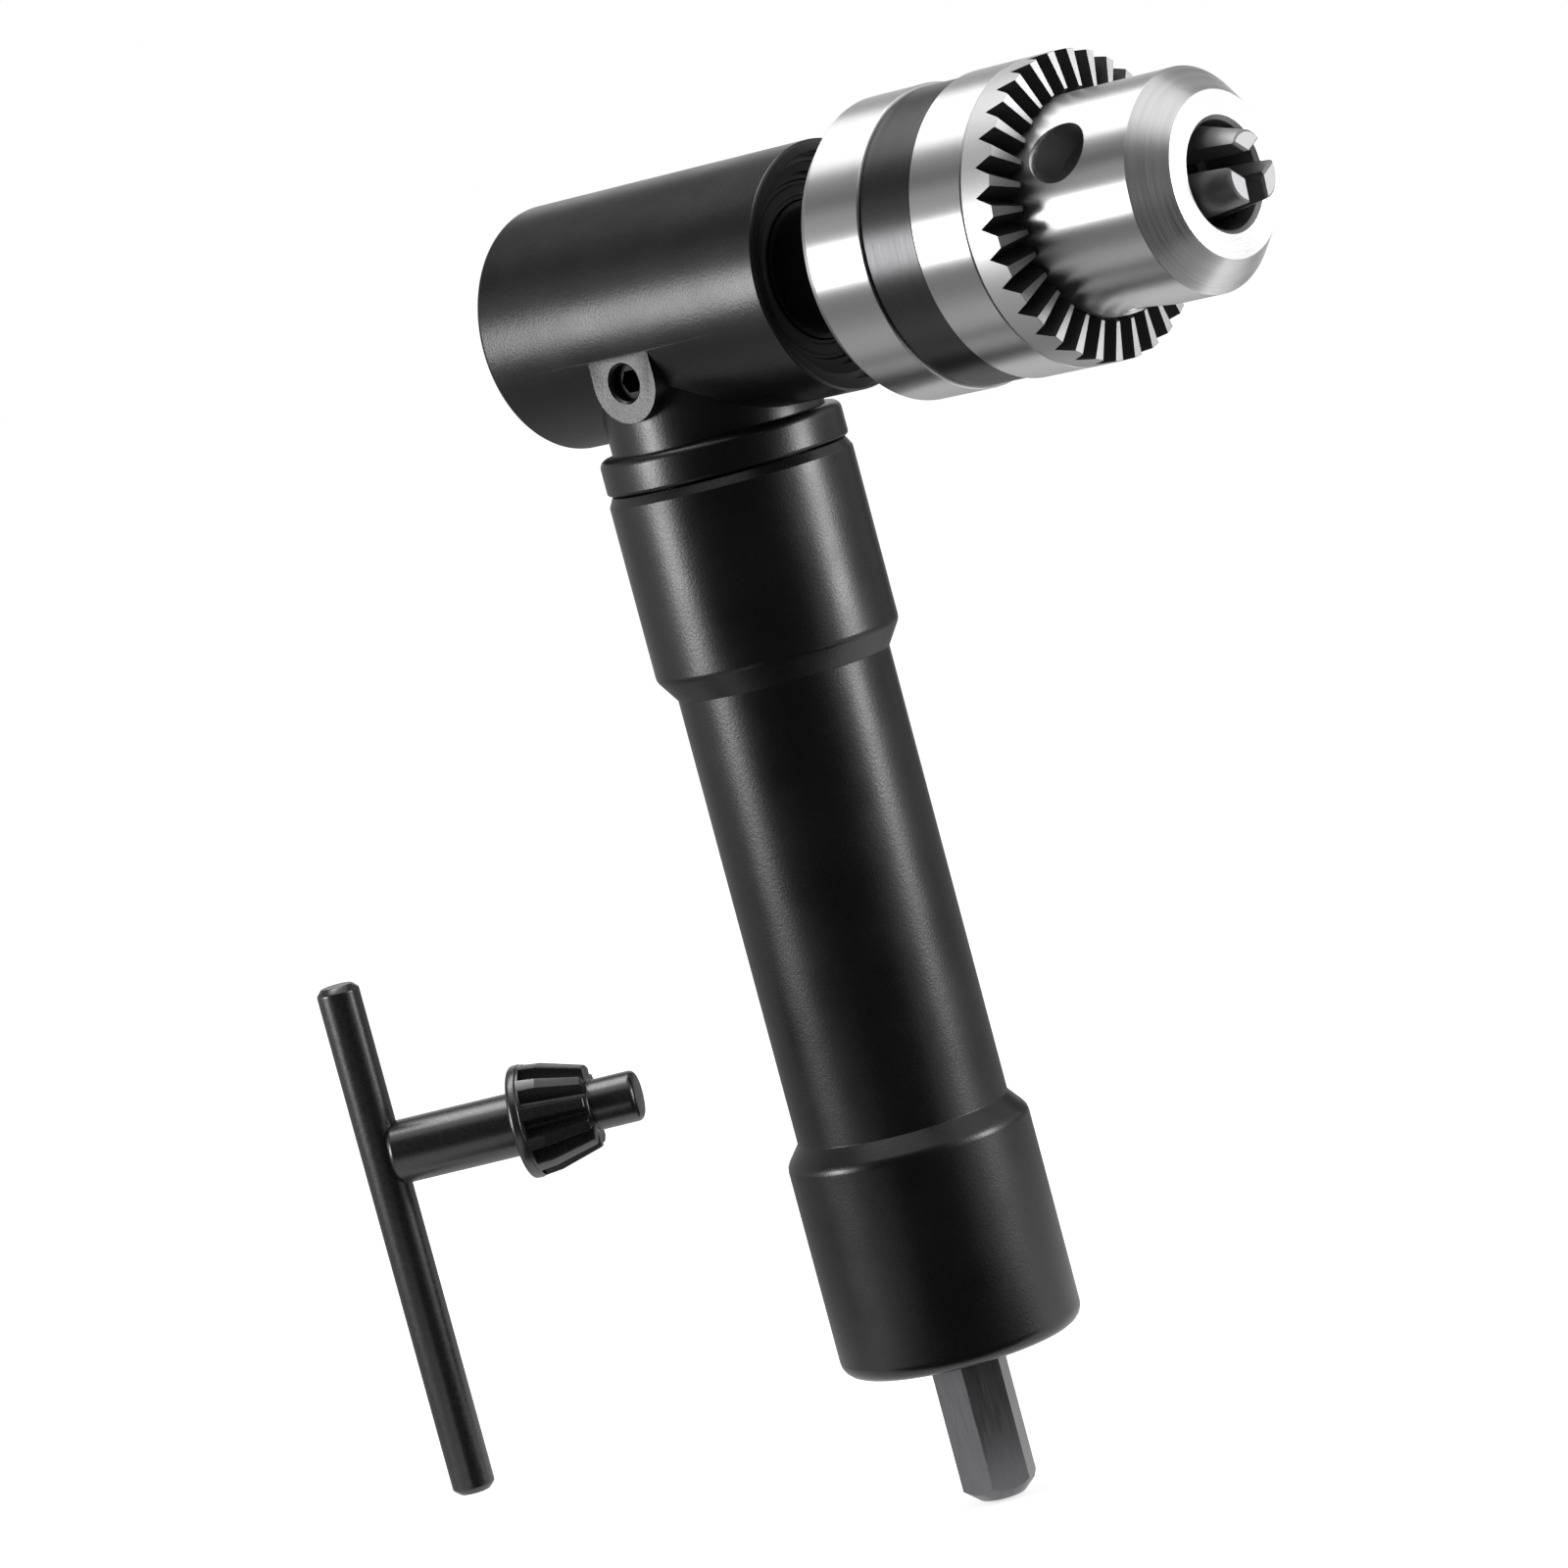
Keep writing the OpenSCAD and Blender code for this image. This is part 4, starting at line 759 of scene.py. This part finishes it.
def ring_of(piece, count, phase):
    """Copies a piece round the upright axis, starting a share of a step in, and joins them."""
    copies = []
    for i in range(count):
        copy = piece.copy()
        copy.data = piece.data.copy()
        bpy.context.scene.collection.objects.link(copy)
        put(copy, about((i + phase) * 360 / count))
        copies.append(copy)
    bpy.data.objects.remove(piece)
    take(copies[0])
    for copy in copies:
        copy.select_set(True)
    bpy.ops.object.join()
    return bpy.context.object


print("a gap of 6 mm and 28 degrees is", round(12 * math.tan(math.radians(28)), 2), "mm wide")

# %% Turn the sleeve and cut its teeth
SLEEVE_RADIUS, SLEEVE_BORE, SKIN, LAND_INNER, BORE_EDGE = 17, 12.36, 16.95, 12.8, 12.75
FRONT_START, BORE_START, LAND_START = 57.2, 58, 61.22
sleeve = coat(turned("sleeve_with_teeth", [
    (49.75, 14.2, 0), (49.75, SLEEVE_RADIUS, 0.12), (56.95, SLEEVE_RADIUS, 0),
    (57.1, 16.85, 0), (57.25, SLEEVE_RADIUS, 0), (61.25, SLEEVE_RADIUS, 0.08),
    (61.93, LAND_INNER, 0.05), (61.45, 12.4, 0), (57.65, SLEEVE_BORE, 0),
    (57.65, 14.2, 0)], 192), chuck_steel)
finish_where(sleeve, sandy_steel, lambda along, radius: along > FRONT_START and radius > SKIN)
finish_where(sleeve, land_steel, lambda along, radius: along > LAND_START and radius > LAND_INNER)
# Painted shade: the sleeve's bore and inner front chamfer go near-black, for the dark gap to the
# nose.
finish_where(sleeve, black_for_gaps_and_bore_shade, lambda along, radius: along > BORE_START and radius < BORE_EDGE)
TEETH, GAP_TIP, GAP_FLOOR, GAP_ANGLE, GAP_PHASE = 32, 59.2, 60.1, 28, 0.724
floor_turn = math.degrees(math.atan2(GAP_FLOOR - GAP_TIP, SLEEVE_RADIUS - SLEEVE_BORE))
wedge = coat(gap_wedge(deep=6.0, half_angle=GAP_ANGLE, length=8), black_for_gaps_and_bore_shade)
put(wedge, move(SLEEVE_RADIUS, 0, GAP_TIP) @ about(floor_turn - 90, "Y") @ move(0, 0, -1))
carve(sleeve, ring_of(wedge, TEETH, GAP_PHASE))
tidy_faces(sleeve, 0.002)
settle(sleeve, ON_CHUCK, "sleeve", "toothed_sleeve")

# %% [markdown]
# ## Jaws
#
# A jaw is a round steel peg that slides in a sloping hole. Two flat faces are ground on it
# that meet in a narrow ridge along the chuck axis, the tip is ground square to that axis,
# and thread teeth on its back run in the split nut. The flats and their bevels are made by
# cutting the peg with planes, as the grinder does, and the grip, the tip's rim and the thread
# with turned cutters. The thread shows little, so its turns are plain rings.

# %% Grind the jaws
JAW_BACK_END, THREAD_PITCH, THREADS = 48.3, 1.6, 11
JAW_LENGTH = (JAW_TIP - JAW_BACK_END) / math.cos(math.radians(JAW_SLOPE))
# Seen along the slope, the round jaw is wider by one over the slope's cosine.
JAW_RADIUS, SLOPING_RADIUS = 2.8, 2.8857
GRIP_EDGE, GRIP_RADIUS, JAW_BEVEL = 1.6, 1.9, 0.3


def slice_off(piece, point, normal):
    """Cuts away what lies on the normal's side of a plane, and closes the cut."""
    take(piece)
    bpy.ops.object.mode_set(mode="EDIT")
    bpy.ops.mesh.select_all(action="SELECT")
    bpy.ops.mesh.bisect(plane_co=point, plane_no=normal, use_fill=True, clear_outer=True)
    bpy.ops.object.mode_set(mode="OBJECT")


def thread_comb():
    """A ring whose inner side is the profile of the thread on the jaws' backs."""
    corners = [(48.9, 22, 0)]
    for i in range(THREADS):
        at = JAW_BACK_END + (i + 1) * THREAD_PITCH
        outer = (JAW_OFFSET + (JAW_TIP - at) * math.tan(math.radians(JAW_SLOPE))
                 + SLOPING_RADIUS)
        corners += [(at - 0.8, outer + 0.46, 0), (at, outer - 0.75, 0)]
    corners += [(at + 0.9, outer + 0.9, 0), (at + 0.9, 22, 0)]
    return turned("thread_comb", corners, 180)


for number in range(3):
    jaw = put(coat(peg(JAW_RADIUS, -JAW_LENGTH, 3), jaw_steel), jaw_axis(number))
    jaw.name = "ground_jaw_%d" % (number + 1)
    toward = about(JAW_TURN + 120 * number + 90)
    slice_off(jaw, (0, 0, JAW_TIP), (0, 0, 1))
    for side_turn in (1, -1):
        face = toward @ move(GRIP_EDGE, 0, 0) @ about(side_turn * 60)
        slice_off(jaw, face @ Vector((0, 0, 0)),
                  face.to_3x3() @ Vector((0, side_turn, 0)))
        slice_off(jaw, face @ Vector((0, -side_turn * JAW_BEVEL, JAW_TIP)),
                  face.to_3x3() @ Vector((0, side_turn, 1)))
    rim = turned("rim_cutter", [
        (JAW_TIP - 0.6, JAW_RADIUS + 0.65, 0),
        (JAW_TIP + 0.4, JAW_RADIUS - JAW_BEVEL - 0.35, 0),
        (JAW_TIP + 0.4, 5, 0), (JAW_TIP - 0.6, 5, 0)], 96)
    carve(jaw, put(rim, toward @ move(JAW_OFFSET, 0, 0)))
    carve(jaw, peg(GRIP_RADIUS, 40, 90, 64))
    carve(jaw, thread_comb())
    tidy_faces(jaw)
    apply(jaw, "BEVEL", width=0.05, segments=2, limit_method="ANGLE",
          angle_limit=math.radians(35))
    settle(jaw, ON_CHUCK, "jaw_body_%d" % (number + 1), "jaw_%d" % (number + 1))

# %% [markdown]
# ## Chuck key
#
# The loose key is a stem with a flange, a small bevel pinion and a pilot, brazed to a plain
# cross bar. The stem is turned in one outline, and its eleven gaps are cut by copies of a
# wedge with a blunt edge, since a pinion's gaps have a flat floor. Its end is hollowed by the
# bar's own round, so that it sits on it like a saddle.

# %% Turn the stem and cut the pinion
KEY = move(-43.7, -39.2, 56.6) @ about(33)
BAR_RADIUS = 2.5
stem = turned("key_stem_and_pinion", [
    (1.4, 0, 0), (1.4, 3.675, 0.7), (16.7, 3.675, 0.5), (16.7, 6.6, 0.55), (18, 6.6, 0.25),
    (18, 6.5, 0), (20.2, 6.25, 0.3), (25.3, 4.8, 0.25), (25.3, 2.95, 0.2), (30.8, 2.95, 0.7),
    (30.8, 0, 0)], 110)
ROOT_BIG, ROOT_SMALL, PINION_BACK, PINION_LENGTH = 4.7, 3.5, 18, 7.3
root_turn = math.degrees(math.atan2(ROOT_BIG - ROOT_SMALL, PINION_LENGTH))
KEY_GAPS, KEY_PHASE = 11, 0.25
wedge = gap_wedge(deep=6.5, half_angle=29, length=7.9, blunt=0.16)
put(wedge, move(ROOT_BIG, 0, PINION_BACK) @ about(-root_turn, "Y"))
carve(stem, ring_of(wedge, KEY_GAPS, KEY_PHASE))
put(stem, about(90, "Y"))
carve(stem, peg(BAR_RADIUS, -9, 9))
tidy_faces(stem, 0.002)
apply(stem, "BEVEL", width=0.1, segments=2, limit_method="ANGLE",
      angle_limit=math.radians(45))
settle(coat(stem, key_black), KEY, "key", "key_shaft")

# %% [markdown]
# ## Cross bar
#
# The bar is a plain round rod, longer below the stem than above it, with a chamfer at each
# end. The chamfers' edges are rounded a little, as a rod that was tumbled before blackening.

# %% Cross bar
bar = turned("key_tommy_bar", [
    (-40.4, 0, 0), (-40.4, 1.8, 0.3), (-39.7, BAR_RADIUS, 0.4), (19.7, BAR_RADIUS, 0.4),
    (20.4, 1.8, 0.3), (20.4, 0, 0)], 96)
settle(coat(bar, key_black), KEY, "key", "key_cross_bar")

# %% [markdown]
# ## Studio
#
# The picture was taken against pure white, with a soft lamp on each side and a softer one
# above. The floor is pale and keeps the object's shadow, and it gets the rest of its white for
# the camera alone. Reflections see on it a painted pool of light that fades outwards, a glow in
# place of the light a studio floor gets from its lamps. Neither of the two throws light on the
# object.

# %% Floor and white background
def seen_rays(tree):
    """One for camera, glossy and transmission rays, and zero for all others."""
    path = add(tree, "ShaderNodeLightPath")
    first = add(tree, "ShaderNodeMath", operation="MAXIMUM",
                links=[(0, path.outputs["Is Camera Ray"]), (1, path.outputs["Is Glossy Ray"])])
    both = add(tree, "ShaderNodeMath", operation="MAXIMUM",
               links=[(0, first.outputs[0]), (1, path.outputs["Is Transmission Ray"])])
    return both.outputs[0]


ROOM_LIGHT, WHITE = 0.5, 1.0
FLOOR_GLOW, POOL_EDGE, POOL_MIDDLE, POOL_RADIUS = 0.62, 0.32, 1.7, 0.27
world = bpy.data.worlds.new("white_studio")
bpy.context.scene.world = world
world.use_nodes = True
tree = world.node_tree
room = tree.nodes["Background"]
room.inputs["Color"].default_value = paint("#FFFFFF")
room.inputs["Strength"].default_value = ROOM_LIGHT
backdrop = add(tree, "ShaderNodeBackground",
               values=[("Color", paint("#FFFFFF")), ("Strength", WHITE)])
either = add(tree, "ShaderNodeMixShader", links=[
    (0, seen_rays(tree)), (1, room.outputs[0]), (2, backdrop.outputs[0])])
tree.links.new(either.outputs[0], tree.nodes["World Output"].inputs["Surface"])

bpy.ops.object.select_all(action="DESELECT")
bpy.ops.mesh.primitive_plane_add(size=8, location=(0, 0, -0.0005))
floor = bpy.context.object
floor.name = "floor"
pale = bpy.data.materials.new("pale_floor")
pale.use_nodes = True
tree = pale.node_tree
tree.nodes.remove(tree.nodes["Principled BSDF"])
board = add(tree, "ShaderNodeBsdfDiffuse", values=[("Color", paint("#EDEDED"))])
seen = add(tree, "ShaderNodeLightPath")
share = add(tree, "ShaderNodeMath", operation="MULTIPLY",
            links=[(0, seen.outputs["Is Camera Ray"])], values=[(1, FLOOR_GLOW)])
glow = add(tree, "ShaderNodeEmission", values=[("Color", paint("#FFFFFF"))],
           links=[("Strength", share.outputs[0])])
lit = add(tree, "ShaderNodeAddShader", links=[(0, board.outputs[0]), (1, glow.outputs[0])])
# Painted pool of light: reflections see the floor glowing brightest near the tool and fading
# outwards.
place = add(tree, "ShaderNodeTexCoord").outputs["Object"]
centred = add(tree, "ShaderNodeMapping", vector_type="TEXTURE", links=[("Vector", place)],
              values=[("Location", (0.11, -0.01, 0)), ("Scale", [POOL_RADIUS] * 3)])
pool = add(tree, "ShaderNodeTexGradient", gradient_type="SPHERICAL",
           links=[("Vector", centred.outputs[0])])
level = add(tree, "ShaderNodeMapRange", links=[("Value", pool.outputs["Fac"])],
            values=[("To Min", POOL_EDGE), ("To Max", POOL_MIDDLE)])
painted_light_pool = add(tree, "ShaderNodeEmission", values=[("Color", paint("#FFFFFF"))],
               links=[("Strength", level.outputs["Result"])])
either = add(tree, "ShaderNodeMixShader", links=[
    (0, seen.outputs["Is Glossy Ray"]), (1, lit.outputs[0]), (2, painted_light_pool.outputs[0])])
tree.links.new(either.outputs[0], tree.nodes["Material Output"].inputs["Surface"])
floor.data.materials.append(pale)
bpy.context.scene.view_settings.view_transform = "Standard"
print("floor and background ready")

# %% [markdown]
# ## Lamps
#
# Two upright lamps stand left and right of the camera and draw the long lines down the
# handle. A wide panel above lights the top of head and chuck. Each lamp is given by its
# heading round the tool, its height, its size and its brightness. It faces the middle of the
# tool, and stays upright unless it hangs well above it.

# %% Lamps round the tool
LAMP_DISTANCE, WELL_ABOVE = 0.55, 0.3
TARGET = Vector((0.01, 0, 0.09))


def soft_lamp(name, heading, height, width, tall, brightness, distance=LAMP_DISTANCE):
    """A soft lamp: heading in degrees from +X, sizes in metres, brightness in radiance."""
    data = bpy.data.lights.new(name, "AREA")
    data.shape = "RECTANGLE"
    data.size = width
    data.size_y = tall
    data.energy = brightness * math.pi * width * tall
    lamp = bpy.data.objects.new(name, data)
    bpy.context.scene.collection.objects.link(lamp)
    turn = math.radians(heading)
    lamp.location = Vector((math.cos(turn), math.sin(turn), 0)) * distance + Vector((0, 0, height))
    aim = TARGET - lamp.location
    if abs(height - TARGET.z) < WELL_ABOVE:
        aim.z = 0
    lamp.rotation_euler = aim.to_track_quat("-Z", "Y").to_euler()
    lamp.visible_camera = False
    return lamp


soft_lamp("left_strip", -123, 0.165, 0.17, 0.21, 17.0)
soft_lamp("right_strip", 28, 0.15, 0.16, 0.24, 16.0)
soft_lamp("top_panel", 180, 0.75, 0.5, 0.25, 5.0, 0.17)

# %% [markdown]
# ## Dark curtains
#
# Black enamel and steel look like what they mirror, so a photographer hangs dark and grey
# cloth round them, between the bright lamps, and lays some on the floor. Here these are sheets
# that glow at a set brightness, painted reflections of dark and grey cloth; the dark one round
# the camera is what makes the enamel black. They are seen by reflections only: they cast no
# shadow, take no light away, and the camera looks through them.

# %% Ways to hang a cloth
CURTAIN_DISTANCE, FOLD = 0.7, 6


def reflection_glow(brightness):
    """A sheet that glows at an even brightness, a painted reflection standing in for lit cloth."""
    material = bpy.data.materials.new("cloth_%03d" % round(brightness * 100))
    material.use_nodes = True
    tree = material.node_tree
    tree.nodes.remove(tree.nodes["Principled BSDF"])
    sheet_glow = add(tree, "ShaderNodeEmission",
               values=[("Color", paint("#FFFFFF")), ("Strength", brightness)])
    tree.links.new(sheet_glow.outputs[0], tree.nodes["Material Output"].inputs["Surface"])
    return material


def hang(name, corners, faces, brightness):
    """Makes a glowing sheet, a painted reflection, from corners in metres that only reflections
    see.
    """
    mesh = bpy.data.meshes.new(name)
    mesh.from_pydata(corners, [], faces)
    made = bpy.data.objects.new(name, mesh)
    bpy.context.scene.collection.objects.link(made)
    made.data.materials.append(reflection_glow(brightness))
    made.visible_camera = False
    made.visible_diffuse = False
    made.visible_shadow = False
    made.visible_transmission = False


def curtain(name, start, end, brightness, bottom, top):
    """A curtain on a circle round the tool, between two headings in degrees."""
    steps = max(2, int(abs(end - start) / FOLD))
    corners = []
    for i in range(steps + 1):
        turn = math.radians(start + (end - start) * i / steps)
        across = CURTAIN_DISTANCE * math.cos(turn), CURTAIN_DISTANCE * math.sin(turn)
        corners += [(*across, bottom), (*across, top)]
    hang(name, corners, [(2 * i, 2 * i + 2, 2 * i + 3, 2 * i + 1) for i in range(steps)],
         brightness)


print("curtains hang", CURTAIN_DISTANCE, "m from the upright axis")

# %% Hang the curtains
# Each row is a sheet glowing at a set brightness, seen only in reflections: a painted reflection of
# a curtain.
for row in (("front_curtain", -108, -4, 0.02, 0.0, 0.9),
            ("left_curtain", -165, -108, 0.6, 0.0, 0.6),
            ("left_top_curtain", -150, -108, 0.15, 0.6, 1.1),
            ("back_left_curtain", -210, -165, 0.4, 0.0, 0.6),
            ("back_top_curtain", -248, -150, 0.2, 0.5, 1.1),
            ("back_curtain", 112, 150, 0.5, 0.0, 0.2),
            ("dark_back_curtain", 90, 112, 0.12, 0.0, 0.6),
            ("right_foot_curtain", 62, 90, 0.25, 0.0, 0.09),
            ("right_curtain", 62, 90, 0.5, 0.09, 0.6),
            ("right_top_curtain", 62, 112, 0.25, 0.6, 1.1)):
    curtain(*row)
# Nearly black glowing sheets on the floor in front of the tool: painted dark reflections of the
# floor.
FLOOR_SHEET_GLOW, CLOTH_HEIGHT = 0.02, 0.001
ahead, across = Vector((0.68, -0.73, 0)), Vector((0.73, 0.68, 0))
for name, near, far, left, right in (("painted_dark_floor_reflection", 0.2, 0.72, -0.5, 0.5),
                                     ("painted_dark_foot_reflection", 0.02, 0.2, -0.07, 0.13)):
    corners = [ahead * d + across * w + Vector((0, 0, CLOTH_HEIGHT))
               for d, w in ((near, left), (near, right), (far, right), (far, left))]
    hang(name, corners, [(0, 1, 2, 3)], FLOOR_SHEET_GLOW)
